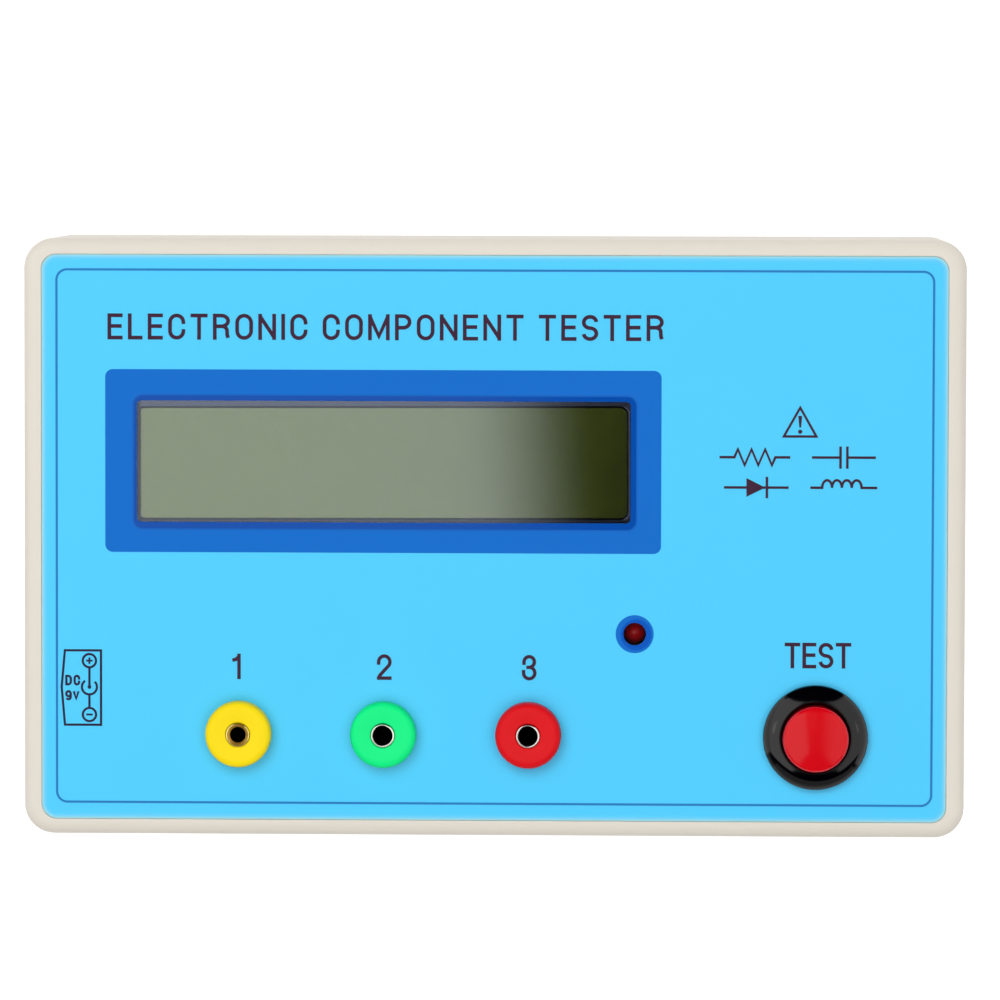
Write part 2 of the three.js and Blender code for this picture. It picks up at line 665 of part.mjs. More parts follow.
// The bezel ring, domed on top, with the threaded barrel below the panel.
function makeButtonHousing() {
  const { bezel, bezelHeight } = BUTTON;
  const { thread, bore, lowerBore, floorZ, bottomZ } = BUTTON_BODY;
  const ring = [];
  const inner = bore + 0.15;
  for (let i = 0; i <= 5; i += 1) {
    const share = i / 5;
    const rise = Math.sin(Math.PI * (0.12 + 0.74 * share)) ** 0.7;
    ring.push([bezel + (inner - bezel) * share, ON_PANEL + bezelHeight * rise]);
  }
  const barrel = turned([
    [0, bottomZ],
    [thread, bottomZ],
    [thread, ON_PANEL],
    [bezel, ON_PANEL],
    ...ring,
    [bore, ON_PANEL],
    [bore, BUTTON_LEDGE_Z],
    [lowerBore, BUTTON_LEDGE_Z],
    [lowerBore, floorZ],
    [0, floorZ],
  ], 24);
  const slot = (x) => box(x - 0.5, x + 0.5, -1.4, 1.4, bottomZ - THROUGH, floorZ + THROUGH);
  return cut(barrel, slot(-TERMINAL_PITCH / 2), slot(TERMINAL_PITCH / 2));
}

// The cap is one moulding with the stem that carries the contact bridge.
function makeButtonCap() {
  const { cap } = BUTTON;
  return turned([
    [0, BUTTON_BRIDGE_Z - 0.6],
    [1.2, BUTTON_BRIDGE_Z - 0.6],
    [1.2, BUTTON_SKIRT_Z],
    [cap, BUTTON_SKIRT_Z],
    [cap, capTop - 0.7],
    [cap - 0.25, capTop - 0.25],
    [cap - 0.8, capTop],
    [0, capTop],
  ]);
}

function makeButtonSpring() {
  const turns = 4;
  const radius = (BUTTON_BODY.bore + BUTTON_BODY.lowerBore) / 2;
  const wireRadius = 0.2;
  const bottom = BUTTON_LEDGE_Z + wireRadius + FIT;
  const rise = BUTTON_SKIRT_Z - BUTTON_LEDGE_Z - 2 * (wireRadius + FIT);
  class Helix extends THREE.Curve {
    getPoint(t, target = new THREE.Vector3()) {
      const angle = 2 * Math.PI * turns * t;
      return target.set(radius * Math.cos(angle), radius * Math.sin(angle), bottom + rise * t);
    }
  }
  const section = new THREE.Shape();
  section.absarc(0, 0, wireRadius, 0, 2 * Math.PI, false);
  const options = { steps: turns * 10, extrudePath: new Helix(), curveSegments: 3, bevelEnabled: false };
  return solid(new THREE.ExtrudeGeometry(section, options));
}

piece('test_button_housing', makeButtonHousing(), BLACK_PLASTIC, button);
piece('test_button_cap', makeButtonCap(), RED_PLASTIC, button);
piece('test_button_spring', makeButtonSpring(), ZINC_STEEL, button);
piece(
  'test_button_bridge',
  cut(post(3.5, BUTTON_BRIDGE_Z, BUTTON_BRIDGE_Z + 0.4), drill(1.3, 17, 20)),
  BRASS,
  button,
);
piece(
  'test_button_nut',
  cut(hexagon(14, nutTop - 2.5, nutTop), drill(BUTTON_BODY.thread + FIT, 20, 30, 0, 0, 24)),
  BLACK_PLASTIC,
  button,
);
const terminalBottom = 8.6;
['left', 'right'].forEach((side, i) => {
  const x = (i - 0.5) * TERMINAL_PITCH;
  const blade = box(x - 0.25, x + 0.25, -1.2, 1.2, terminalBottom, BUTTON_BODY.floorZ + 0.2);
  const pad = box(x - 0.7, x + 0.7, -1.2, 1.2, BUTTON_BODY.floorZ + 0.1, BUTTON_BODY.floorZ + 0.9);
  piece(`test_button_terminal_${side}`, join(blade, pad), BRASS, button);
});

// ---------------------------------------------------------------- DC inlet

const jackEnd = JACK_FACE_X + JACK.length;
const boreEnd = JACK_FACE_X + JACK.depth;
function makeJackHousing() {
  const left = JACK.y - JACK.width / 2;
  const right = JACK.y + JACK.width / 2;
  return cut(
    box(JACK_FACE_X, jackEnd, left, right, ON_BOARD, ON_BOARD + JACK.height),
    rod(JACK.bore, JACK_FACE_X - THROUGH, boreEnd, JACK.y, JACK_AXIS_Z),
    rod(JACK.pin + FIT, JACK_FACE_X, jackEnd + THROUGH, JACK.y, JACK_AXIS_Z),
    box(JACK_FACE_X + 2, boreEnd, JACK.y - 1.3, JACK.y + 1.3, ON_BOARD + 1.6, JACK_AXIS_Z - 2),
  );
}
piece('dc_jack_housing', makeJackHousing(), BLACK_PLASTIC);
piece('dc_jack_centre_pin', rod(JACK.pin, JACK_FACE_X + 0.8, jackEnd - ROOT, JACK.y, JACK_AXIS_Z), NICKEL);

// The sleeve contact is a bent leaf in the bottom of the bore.
function makeJackContact() {
  const leaf = new THREE.Shape();
  const bottom = ON_BOARD + 1.7;
  leaf.moveTo(2.2, bottom);
  leaf.lineTo(9.5, bottom);
  leaf.lineTo(9.5, bottom + 0.3);
  leaf.lineTo(6.5, bottom + 0.5);
  leaf.lineTo(4.4, bottom + 2);
  leaf.lineTo(4, bottom + 1.7);
  leaf.lineTo(5.8, bottom + 0.35);
  leaf.lineTo(2.2, bottom + 0.35);
  const geometry = new THREE.ExtrudeGeometry(leaf, { depth: 2, bevelEnabled: false });
  return solid(geometry.rotateX(Math.PI / 2).translate(JACK_FACE_X, JACK.y + 1, 0));
}
piece('dc_jack_contact', makeJackContact(), BRASS);

// ---------------------------------------------------------------- battery and leads

function makeBattery() {
  const { width, thickness, length, corner, endY, z, x } = BATTERY;
  const centreZ = z + thickness / 2;
  const can = prism(roundedRect(width, thickness, corner), 0, length);
  const stud = (radius, side) => post(radius, -BATTERY_STUDS.height, 0.2, (side * BATTERY_STUDS.pitch) / 2);
  return join(can, stud(BATTERY_STUDS.small, -1), stud(BATTERY_STUDS.large, 1))
    .rotate([-90, 0, 0])
    .translate([x, endY, centreZ]);
}

// The clip presses onto the battery's two studs.
function makeBatteryClip() {
  const pocket = (radius, side) =>
    drill(radius + 0.2, -BATTERY_STUDS.height - 0.2, 1, (side * BATTERY_STUDS.pitch) / 2);
  return cut(
    prism(roundedRect(25, 11, 2), -4.2, -0.2),
    pocket(BATTERY_STUDS.small, -1),
    pocket(BATTERY_STUDS.large, 1),
  )
    .rotate([-90, 0, 0])
    .translate([BATTERY.x, BATTERY.endY, BATTERY.z + BATTERY.thickness / 2]);
}

piece('battery', makeBattery(), BATTERY_SKIN);
piece('battery_clip', makeBatteryClip(), BLACK_PLASTIC);

// Every route ends straight down on the main board. The two pairs run side by side.
const clipFace = BATTERY.endY - 4.6;
const clipZ = BATTERY.z + BATTERY.thickness / 2;
const LEAD_END = { x: 22, top: 9.2 };
const LEADS = [
  {
    name: 'battery_lead_red',
    finish: RED_WIRE,
    endY: -12,
    route: [[30, clipFace, clipZ], [29.6, -15.8, 10.5], [26.8, -15, 9.8], [24.4, -12.6, 10]],
  },
  {
    name: 'battery_lead_black',
    finish: BLACK_WIRE,
    endY: -14.6,
    route: [[32, clipFace, clipZ], [31.8, -16.8, 10.5], [28.4, -18, 9.9], [24.4, -15, 10]],
  },
  {
    name: 'test_button_lead_1',
    finish: RED_WIRE,
    endY: -17.2,
    route: [[39.1, -26.15, 9.6], [34, -24, 9], [28.5, -20.4, 8.9], [24.2, -17.7, 10]],
  },
  {
    name: 'test_button_lead_2',
    finish: BLACK_WIRE,
    endY: -19.8,
    route: [[45.25, -28, 9.6], [42, -31, 9.2], [35, -30, 9], [28, -24.8, 8.9], [24.2, -20.5, 10]],
  },
];
LEADS.forEach(({ name, finish, route, endY }) => {
  const end = [[LEAD_END.x, endY, LEAD_END.top], [LEAD_END.x, endY, WIRE_END_Z]];
  piece(name, wire([...route, ...end], WIRE, 14), finish);
});

export default root;
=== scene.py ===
"""Looks for a bench component tester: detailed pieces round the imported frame, with studio light and camera.

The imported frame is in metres. Sizes here are in millimetres, and piece() turns them into metres.
"""
import json
from math import cos, pi, radians, sin, sqrt

import bmesh
import bpy
from mathutils import Matrix, Vector


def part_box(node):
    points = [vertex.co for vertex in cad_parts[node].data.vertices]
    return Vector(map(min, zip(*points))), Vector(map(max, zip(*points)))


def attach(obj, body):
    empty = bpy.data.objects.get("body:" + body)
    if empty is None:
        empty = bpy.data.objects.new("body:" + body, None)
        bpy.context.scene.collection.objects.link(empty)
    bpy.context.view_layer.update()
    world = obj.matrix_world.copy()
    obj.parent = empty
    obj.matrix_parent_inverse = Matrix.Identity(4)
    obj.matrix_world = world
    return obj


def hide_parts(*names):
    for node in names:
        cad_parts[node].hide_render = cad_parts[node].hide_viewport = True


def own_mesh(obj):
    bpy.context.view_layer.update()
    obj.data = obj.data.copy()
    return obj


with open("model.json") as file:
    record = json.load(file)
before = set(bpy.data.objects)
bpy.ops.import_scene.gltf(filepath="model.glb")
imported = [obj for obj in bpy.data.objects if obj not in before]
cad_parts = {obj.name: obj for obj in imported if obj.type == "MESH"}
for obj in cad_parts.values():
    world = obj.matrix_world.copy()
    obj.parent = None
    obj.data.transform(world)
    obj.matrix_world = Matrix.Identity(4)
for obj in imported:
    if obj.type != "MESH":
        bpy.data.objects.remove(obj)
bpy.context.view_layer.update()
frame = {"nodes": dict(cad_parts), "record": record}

MM = 0.001
SHARP = radians(32)  # faces that meet at a larger angle keep a crisp edge


# ---------------- places taken from the frame


def low(node):
    """A CAD node's lowest corner in millimetres."""
    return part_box(node)[0] / MM


def high(node):
    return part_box(node)[1] / MM


def middle(node):
    return (low(node) + high(node)) / 2


CASE_SIZE = high("front_cover") - low("back_cover")
CASE_TOP = high("front_cover").z
SEAM_TOP = low("front_cover").z
SEAM_BOTTOM = SEAM_TOP - 0.3
PANEL = high("front_overlay").z
FILM_BACK = low("front_overlay").z
WINDOW = middle("display_window")
WINDOW_SIZE = high("display_window") - low("display_window") + Vector((0.1, 0.1, 0))
FILM_SIZE = high("front_overlay") - low("front_overlay")
LAMP = middle("status_led")
BUTTON = middle("test_button_housing")
SOCKETS = {colour: middle(f"{colour}_socket_insulator") for colour in ("yellow", "green", "red")}
INLET = middle("dc_jack_centre_pin")


# ---------------- mesh helpers


def skin(rings, closed=False):
    """A solid through rings with equal numbers of points, capped unless the row closes on itself."""
    count = len(rings[0])
    points = [point for ring in rings for point in ring]
    faces = []
    spans = len(rings) if closed else len(rings) - 1
    for row in range(spans):
        here = row * count
        there = (row + 1) % len(rings) * count
        for i in range(count):
            j = (i + 1) % count
            faces.append((here + i, here + j, there + j, there + i))
    if not closed:
        faces.append(tuple(range(count)))
        faces.append(tuple(range(spans * count, (spans + 1) * count)))
    return points, faces


def rounded_outline(width, depth, radius, steps=10, x=0, y=0):
    points = []
    for quarter, (side, end) in enumerate([(1, 1), (-1, 1), (-1, -1), (1, -1)]):
        cx = x + side * (width / 2 - radius)
        cy = y + end * (depth / 2 - radius)
        for i in range(steps + 1):
            angle = (quarter + i / steps) * pi / 2
            points.append((cx + radius * cos(angle), cy + radius * sin(angle)))
    return points


def raised(outline, z):
    return [(x, y, z) for x, y in outline]


def slab(outline, z0, z1):
    return skin([raised(outline, z0), raised(outline, z1)])


def soft_slab(width, depth, radius, z0, z1, edge, x=0, y=0, steps=10):
    """A rounded plate whose top edge is rounded too."""
    rings = [raised(rounded_outline(width, depth, radius, steps, x, y), z0)]
    for out, z in arc(-edge, z1 - edge, edge, 0, 90, 5):
        outline = rounded_outline(width + 2 * out, depth + 2 * out, radius + out, steps, x, y)
        rings.append(raised(outline, z))
    return skin(rings)


def ring_slab(outer, inner, z0, z1):
    """A flat frame between two outlines with equal numbers of points."""
    return skin([raised(outer, z0), raised(outer, z1), raised(inner, z1), raised(inner, z0)], closed=True)


def bow(cx, cy, rx, ry, start, end, steps=14):
    """Points along part of an ellipse, with its angles in degrees."""
    angles = [radians(start + (end - start) * i / steps) for i in range(steps + 1)]
    return [(cx + rx * cos(a), cy + ry * sin(a)) for a in angles]


def arc(x, z, radius, start, end, steps=6):
    return bow(x, z, radius, radius, start, end, steps)


def circle(x, y, radius, steps=32):
    turns = [2 * pi * i / steps for i in range(steps)]
    return [(x + radius * cos(turn), y + radius * sin(turn)) for turn in turns]


def lathe(profile, centre=(0, 0), segments=96, closed=False):
    """A profile of (radius, z) points turned round an upright axis."""
    return skin([raised(circle(*centre, radius, segments), z) for radius, z in profile], closed)


def drill(radius, z0, z1, centre, segments=96):
    return lathe([(radius, z0), (radius, z1)], centre, segments)


def box(x0, x1, y0, y1, z0, z1):
    return slab([(x0, y0), (x1, y0), (x1, y1), (x0, y1)], z0, z1)


def moved(shape, matrix):
    points, faces = shape
    return [tuple(matrix @ Vector(point)) for point in points], faces


def joined(shapes):
    points, faces = [], []
    for more_points, more_faces in shapes:
        start = len(points)
        points.extend(more_points)
        faces.extend(tuple(start + i for i in face) for face in more_faces)
    return points, faces


def mesh_object(name, shape):
    points, faces = shape
    mesh = bpy.data.meshes.new(name)
    mesh.from_pydata([tuple(c * MM for c in point) for point in points], [], faces)
    edit = bmesh.new()
    edit.from_mesh(mesh)
    bmesh.ops.remove_doubles(edit, verts=edit.verts, dist=1e-7)
    bmesh.ops.recalc_face_normals(edit, faces=edit.faces)
    edit.to_mesh(mesh)
    edit.free()
    made = bpy.data.objects.new(name, mesh)
    bpy.context.scene.collection.objects.link(made)
    return made


def cut(made, tools, use_self=False):
    """Cuts each tool out of the object."""
    cutters = [mesh_object(f"cutter_{i}", tool) for i, tool in enumerate(tools)]
    for cutter in cutters:
        step = made.modifiers.new("cut", "BOOLEAN")
        step.operation = "DIFFERENCE"
        step.solver = "EXACT"
        step.use_self = use_self
        step.object = cutter
    graph = bpy.context.evaluated_depsgraph_get()
    mesh = bpy.data.meshes.new_from_object(made.evaluated_get(graph))
    made.modifiers.clear()
    made.data = mesh
    for cutter in cutters:
        bpy.data.objects.remove(cutter)


def merge_overlaps(made):
    """Turns a mesh of overlapping closed strokes into one clean surface, with a cut that misses it."""
    cut(made, [box(500, 501, 500, 501, 0, 1)], use_self=True)


def shade(made):
    edit = bmesh.new()
    edit.from_mesh(made.data)
    for face in edit.faces:
        face.smooth = True
    for edge in edit.edges:
        edge.smooth = edge.calc_face_angle(0) < SHARP
    edit.to_mesh(made.data)
    edit.free()
    normals = made.modifiers.new("even_normals", "WEIGHTED_NORMAL")
    normals.keep_sharp = True


def piece(name, shape, material, body="case", stands_for=(), holes=(), merge=False):
    """One named piece of the tester, riding on its CAD body."""
    made = mesh_object(name, shape)
    if holes:
        cut(made, holes)
    if merge:
        merge_overlaps(made)
    made.data.materials.clear()
    made.data.materials.append(material)
    shade(made)
    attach(made, body)
    if stands_for:
        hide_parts(*stands_for)
    return made


# ---------------- materials


def linear(red, green, blue):
    """A colour given as 0-255 screen values, as the shader's linear numbers."""
    def one(value):
        share = value / 255
        return share / 12.92 if share <= 0.04045 else ((share + 0.055) / 1.055) ** 2.4
    return (one(red), one(green), one(blue), 1)


class Shader:
    """A node material. Its sockets take either a constant or the output of another node."""

    def __init__(self, name):
        self.material = bpy.data.materials.new(name)
        self.material.use_nodes = True
        self.tree = self.material.node_tree
        self.bsdf = self.tree.nodes["Principled BSDF"]
        self.place = self.node("ShaderNodeTexCoord").outputs["Object"]

    def give(self, target, value):
        if isinstance(value, bpy.types.NodeSocket):
            self.tree.links.new(value, target)
        else:
            target.default_value = value

    def feed(self, node, values):
        for socket, value in values.items():
            self.give(node.inputs[socket], value)

    def node(self, kind, inputs=None, **settings):
        made = self.tree.nodes.new(kind)
        for name, value in settings.items():
            setattr(made, name, value)
        self.feed(made, inputs or {})
        return made

    def noise(self, size, detail=3):
        """Soft noise whose features are about size millimetres across."""
        values = {"Scale": 1 / (size * MM), "Detail": detail, "Roughness": 0.5, "Vector": self.place}
        return self.node("ShaderNodeTexNoise", values).outputs["Fac"]

    def between(self, size, low_value, high_value):
        """Soft noise of the given size, stretched to run between two numbers."""
        values = {"From Min": 0.3, "From Max": 0.7, "To Min": low_value, "To Max": high_value}
        values["Value"] = self.noise(size)
        return self.node("ShaderNodeMapRange", values).outputs["Result"]

    def mix(self, factor, first, second):
        made = self.node("ShaderNodeMix", {"Factor": factor}, data_type="RGBA")
        for name, colour in (("A", first), ("B", second)):
            self.give(next(s for s in made.inputs if s.name == name and s.type == "RGBA"), colour)
        return next(s for s in made.outputs if s.type == "RGBA")

    def math(self, operation, first, second=0.0):
        return self.node("ShaderNodeMath", {0: first, 1: second}, operation=operation).outputs[0]

    def near_edge(self, width, depth, corner, reach):
        """1 at the edge of a centred rounded rectangle, falling fast to 0 at the given reach inside it."""
        parts = self.node("ShaderNodeSeparateXYZ", {0: self.place})
        past = []  # how far a point is past the centre of the nearest corner's arc
        for axis, size in (("X", width), ("Y", depth)):
            across = self.math("ABSOLUTE", parts.outputs[axis])
            past.append(self.math("SUBTRACT", across, (size / 2 - corner) * MM))
        squares = [self.math("POWER", self.math("MAXIMUM", value, 0), 2) for value in past]
        outside = self.math("SQRT", self.math("ADD", *squares))
        inside = self.math("MINIMUM", self.math("MAXIMUM", *past), 0)
        values = {"From Min": (corner - reach) * MM, "From Max": corner * MM}
        values["Value"] = self.math("ADD", outside, inside)
        return self.math("POWER", self.node("ShaderNodeMapRange", values).outputs["Result"], 4)

    def bump(self, height, distance, strength=1.0):
        values = {"Strength": strength, "Distance": distance * MM, "Height": height}
        return self.node("ShaderNodeBump", values).outputs["Normal"]

    def finished(self, values):
        """The material, with these values in the sockets of its principled shader."""
        self.feed(self.bsdf, values)
        return self.material


def tinted(colour, share):
    return tuple(min(1.0, channel * share) for channel in colour[:3]) + (1,)


def moulded(name, colour, roughness, grain=0.35, depth=0.004, drift=0.04, specular=0.5):
    """Moulded or printed plastic: a fine surface grain, with slow drifts of colour and gloss."""
    shader = Shader(name)
    return shader.finished({
        "Base Color": shader.mix(shader.noise(9), tinted(colour, 1 - drift), tinted(colour, 1 + drift)),
        "Roughness": shader.between(3, roughness * 0.9, roughness * 1.1),
        "Normal": shader.bump(shader.noise(grain), depth),
        "Specular IOR Level": specular,
    })


def ink(name, colour, specular=0.2, depth=0.003, drift=0.02):
    return moulded(name, colour, 0.5, grain=0.2, depth=depth, drift=drift, specular=specular)


def socket_plastic(name, colour):
    return moulded(name, colour, 0.42, grain=0.3, depth=0.003, drift=0.02, specular=0.1)


def printed_film(name, colour, edge_light_colour):
    """Satin film printed on its back, with a paler band painted along its cut edge for the light that the
    edge lets in and catches.
    """
    shader = Shader(name)
    print_colour = shader.mix(shader.noise(9), tinted(colour, 0.992), tinted(colour, 1.008))
    # painted light: the film's colour turns paler towards its cut edge
    painted_edge_light = shader.near_edge(FILM_SIZE.x, FILM_SIZE.y, 2, 1.2)
    return shader.finished({
        "Base Color": shader.mix(painted_edge_light, print_colour, edge_light_colour),
        "Roughness": shader.between(3, 0.33, 0.37),
        "Normal": shader.bump(shader.noise(0.2), 0.001),
        "Specular IOR Level": 0.36,
    })


def plated(name, colour, roughness):
    """Bright metal with a faint uneven polish."""
    shader = Shader(name)
    return shader.finished({
        "Base Color": shader.mix(shader.noise(1.5), tinted(colour, 0.92), tinted(colour, 1.06)),
        "Roughness": shader.between(0.25, roughness * 0.8, roughness * 1.3),
        "Normal": shader.bump(shader.noise(0.25), 0.002),
        "Metallic": 1,
    })


def clear_sheet(name, tint, sheen):
    """A thin clear sheet: light goes straight through, and a faintly blue mirror image lies on top."""
    shader = Shader(name)
    through = shader.node("ShaderNodeBsdfTransparent", {"Color": tint})
    gloss = {"Color": sheen, "Roughness": shader.between(20, 0.02, 0.035)}
    both = shader.node("ShaderNodeMixShader", {
        "Fac": shader.node("ShaderNodeFresnel", {"IOR": 1.6}).outputs["Fac"],
        1: through.outputs["BSDF"],
        2: shader.node("ShaderNodeBsdfGlossy", gloss).outputs["BSDF"],
    })
    shader.feed(shader.tree.nodes["Material Output"], {"Surface": both.outputs["Shader"]})
    shader.tree.nodes.remove(shader.bsdf)
    return shader.material


def display_cell(name, colour):
    """A switched-off display: a clear polished sheet over an olive reflector that scatters a little."""
    shader = Shader(name)
    return shader.finished({
        "Base Color": shader.mix(shader.noise(14, 2), tinted(colour, 0.95), tinted(colour, 1.05)),
        "Roughness": shader.between(6, 0.115, 0.13),
        "Metallic": 0.96,
        "Coat Weight": 1,
        "Coat Roughness": 0.03,
        "Coat IOR": 1.9,
    })


def lamp_resin(name, colour):
    """Dark clear resin with the light let into it a little."""
    shader = Shader(name)
    return shader.finished({
        "Base Color": shader.mix(shader.noise(0.8), tinted(colour, 0.8), tinted(colour, 1.2)),
        "Roughness": shader.between(0.5, 0.05, 0.09),
        "Coat Weight": 0.3,
        "Subsurface Weight": 0.15,
        "Subsurface Radius": (0.002, 0.0004, 0.0004),
        "Subsurface Scale": 0.5,
    })


def circuit_board(name):
    """Green solder mask over faint copper tracks."""
    shader = Shader(name)
    values = {"Scale": 120, "Mortar Size": 0.03, "Vector": shader.place, "Mortar": linear(42, 120, 66)}
    values |= {"Color1": linear(24, 84, 48), "Color2": linear(20, 76, 42)}
    tracks = shader.node("ShaderNodeTexBrick", values)
    return shader.finished({
        "Base Color": tracks.outputs["Color"],
        "Roughness": shader.between(2, 0.25, 0.4),
        "Normal": shader.bump(tracks.outputs["Fac"], 0.03, 0.5),
    })


CREAM = moulded("cream_case_plastic", linear(209, 202, 191), 0.55, grain=0.3, depth=0.01, drift=0.012)
# the film's last colour is the painted light along its cut edge
FILM = printed_film("light_blue_film", linear(56, 191, 239), linear(150, 204, 214))
FRAME_INK = moulded("dark_blue_ink", linear(12, 101, 190), 0.4, grain=0.2, depth=0.001, drift=0.012,
                    specular=0.05)
BAND_INK = moulded("blue_ink_over_the_opening", linear(0, 70, 158), 0.08, grain=0.6, depth=0.0004,
                   drift=0.01, specular=0.16)
# painted shadow: a thin ring, darker than the frame, along the edge of the case's opening under the film
OPENING_EDGE_SHADE = ink("painted_shadow_at_the_opening_edge", linear(6, 88, 176), specular=0.08)
LINE_INK = ink("mid_blue_ink", linear(14, 112, 180))
TEXT_INK = ink("maroon_ink", linear(57, 18, 47), drift=0.06)
SIGN_INK = ink("dark_violet_ink", linear(34, 20, 58), drift=0.06)
LAMP_INK = ink("blue_ink_round_the_lamp", linear(0, 80, 178), specular=0.04, depth=0.001)
CLEAR = clear_sheet("clear_film", (0.97, 0.98, 0.97, 1), (0.75, 0.83, 1, 1))
CELL = display_cell("display_cell", (0.097, 0.13, 0.01, 1))
BEZEL_BLACK = plated("black_plated_steel", linear(75, 79, 99), 0.14)
GLOSS_BLACK = moulded("gloss_black_plastic", linear(1, 1, 3), 0.09, grain=0.6, depth=0.0006, drift=0.1)
SATIN_BLACK = moulded("satin_black_plastic", linear(18, 18, 20), 0.35, grain=0.25, depth=0.003, drift=0.1)
CAP_RED = moulded("red_button_plastic", linear(199, 2, 17), 0.1, grain=0.5, depth=0.0004, drift=0.03,
                  specular=0.27)
SOCKET_PLASTIC = {
    "yellow": socket_plastic("yellow_socket_plastic", linear(236, 208, 4)),
    "green": socket_plastic("green_socket_plastic", linear(6, 228, 126)),
    "red": socket_plastic("red_socket_plastic", linear(208, 6, 18)),
}
NICKEL = plated("nickel_plate", linear(246, 243, 235), 0.12)
# painted shade: the metal lining of the pin holes is nearly black, for the shade down the bores
BORE_SHADE = plated("bore_metal_painted_dark", linear(30, 26, 22), 0.5)
PALE_GOLD = plated("pale_gold_plate", linear(254, 238, 156), 0.14)
WORN_GOLD = plated("worn_gold_plate", linear(238, 196, 96), 0.48)
BRASS = plated("brass", linear(214, 178, 98), 0.25)
ZINC = plated("zinc_plate", linear(190, 194, 200), 0.3)
RESIN = lamp_resin("dark_red_resin", linear(200, 4, 14))
BOARD = circuit_board("solder_mask")
DIFFUSER = moulded("white_diffuser", linear(236, 240, 228), 0.4, drift=0.02)
RESISTOR_BLUE = moulded("resistor_lacquer", linear(120, 176, 208), 0.45, drift=0.05)
SLEEVE_BLUE = moulded("capacitor_sleeve", linear(40, 64, 124), 0.3, drift=0.06)
BATTERY_GREY = moulded("battery_jacket", linear(74, 80, 88), 0.3, drift=0.05)
WIRE_RED = moulded("red_insulation", linear(192, 28, 28), 0.4, drift=0.05)
WIRE_BLACK = moulded("black_insulation", linear(26, 26, 26), 0.4, drift=0.08)

SLOT_MATERIALS = {
    "case_plastic": CREAM,
    "printed_film": FILM,
    "clear_window": CLEAR,
    "display_glass": CELL,
    "diffuser": DIFFUSER,
    "bezel_steel": BEZEL_BLACK,
    "circuit_board": BOARD,
    "black_plastic": SATIN_BLACK,
    "yellow_plastic": SOCKET_PLASTIC["yellow"],
    "green_plastic": SOCKET_PLASTIC["green"],
    "red_plastic": SOCKET_PLASTIC["red"],
    "nickel": NICKEL,
    "brass": BRASS,
    "zinc_steel": ZINC,
    "lamp_red": RESIN,
    "resistor_coat": RESISTOR_BLUE,
    "blue_plastic": SLEEVE_BLUE,
    "battery_jacket": BATTERY_GREY,
    "red_insulation": WIRE_RED,
    "black_insulation": WIRE_BLACK,
}


# ---------------- case

CORNER = 4.0
EDGE = 1.8
WALL = 2.2
FILM_GAP = 0.1  # from the film's CAD edge to the wall of its recess
RIM_X = (CASE_SIZE.x - FILM_SIZE.x) / 2 - FILM_GAP
RIM_Y = (CASE_SIZE.y - FILM_SIZE.y) / 2 - FILM_GAP
RECESS_CORNER = 2.0
FRONT_INSIDE = 29.4
FLOOR = 2.0
INLET_HOLE = 5.0
CUTOUT_MARGIN = (1.14, 1.5)  # how much wider and deeper the case's opening is than the clear window
CUTOUT_SHIFT = (0.15, -0.1)
WELL_RADIUS, WELL_DEPTH = 2.9, 6  # the wells that the heads of the case's screws sit in


def case_ring(inset, z):
    corner = max(CORNER - inset, 0.5)
    outline = rounded_outline(CASE_SIZE.x - 2 * inset, CASE_SIZE.y - 2 * inset, corner, 14)
    return raised(outline, z)


def recess_ring(grow, z):
    """The film's recess, or an outline a little larger than it."""
    width = CASE_SIZE.x - 2 * RIM_X + 2 * grow
    depth = CASE_SIZE.y - 2 * RIM_Y + 2 * grow
    return raised(rounded_outline(width, depth, RECESS_CORNER + grow, 14), z)


def outward_edge(z_flat, direction):
    """The round outer edge of the case, from its side wall to its face."""
    rings = []
    for out, rise in arc(0, 0, EDGE, 0, 90, 8):
        rings.append(case_ring(EDGE - out, z_flat + direction * rise))
    return rings


def inlet_drill():
    axis = Matrix.Translation((-CASE_SIZE.x / 2, INLET.y, INLET.z)) @ Matrix.Rotation(pi / 2, 4, "Y")
    return moved(drill(INLET_HOLE, -4, 4, (0, 0)), axis)


def display_opening(grow=0):
    """The case's opening behind the film, or an outline a little larger than it."""
    width = WINDOW_SIZE.x + CUTOUT_MARGIN[0] + 2 * grow
    depth = WINDOW_SIZE.y + CUTOUT_MARGIN[1] + 2 * grow
    x, y = WINDOW.x + CUTOUT_SHIFT[0], WINDOW.y + CUTOUT_SHIFT[1]
    return rounded_outline(width, depth, 1.2 + grow, 10, x, y)


def make_front_cover():
    lip = 0.08  # the small round on the edge of the film's recess
    rings = [case_ring(WALL, SEAM_TOP), case_ring(0.25, SEAM_TOP), case_ring(0, SEAM_TOP + 0.25)]
    rings += outward_edge(CASE_TOP - EDGE, 1)
    rings += [recess_ring(lip - out, CASE_TOP - lip + rise) for out, rise in arc(0, 0, lip, 90, 0, 4)]
    rings += [recess_ring(0, FILM_BACK - 0.05)]
    shape = skin([case_ring(WALL, FRONT_INSIDE)] + rings)
    through = (FRONT_INSIDE - 1, CASE_TOP + 1)
    holes = [slab(display_opening(), *through), inlet_drill()]
    holes += [drill(3.2, *through, at.xy, 64) for at in SOCKETS.values()]
    holes += [drill(6.05, *through, BUTTON.xy, 64), drill(LAMP_CASE_HOLE, *through, LAMP_HOLE_PLACE, 64)]
    piece("front_cover_shell", shape, CREAM, stands_for=["front_cover"], holes=holes)


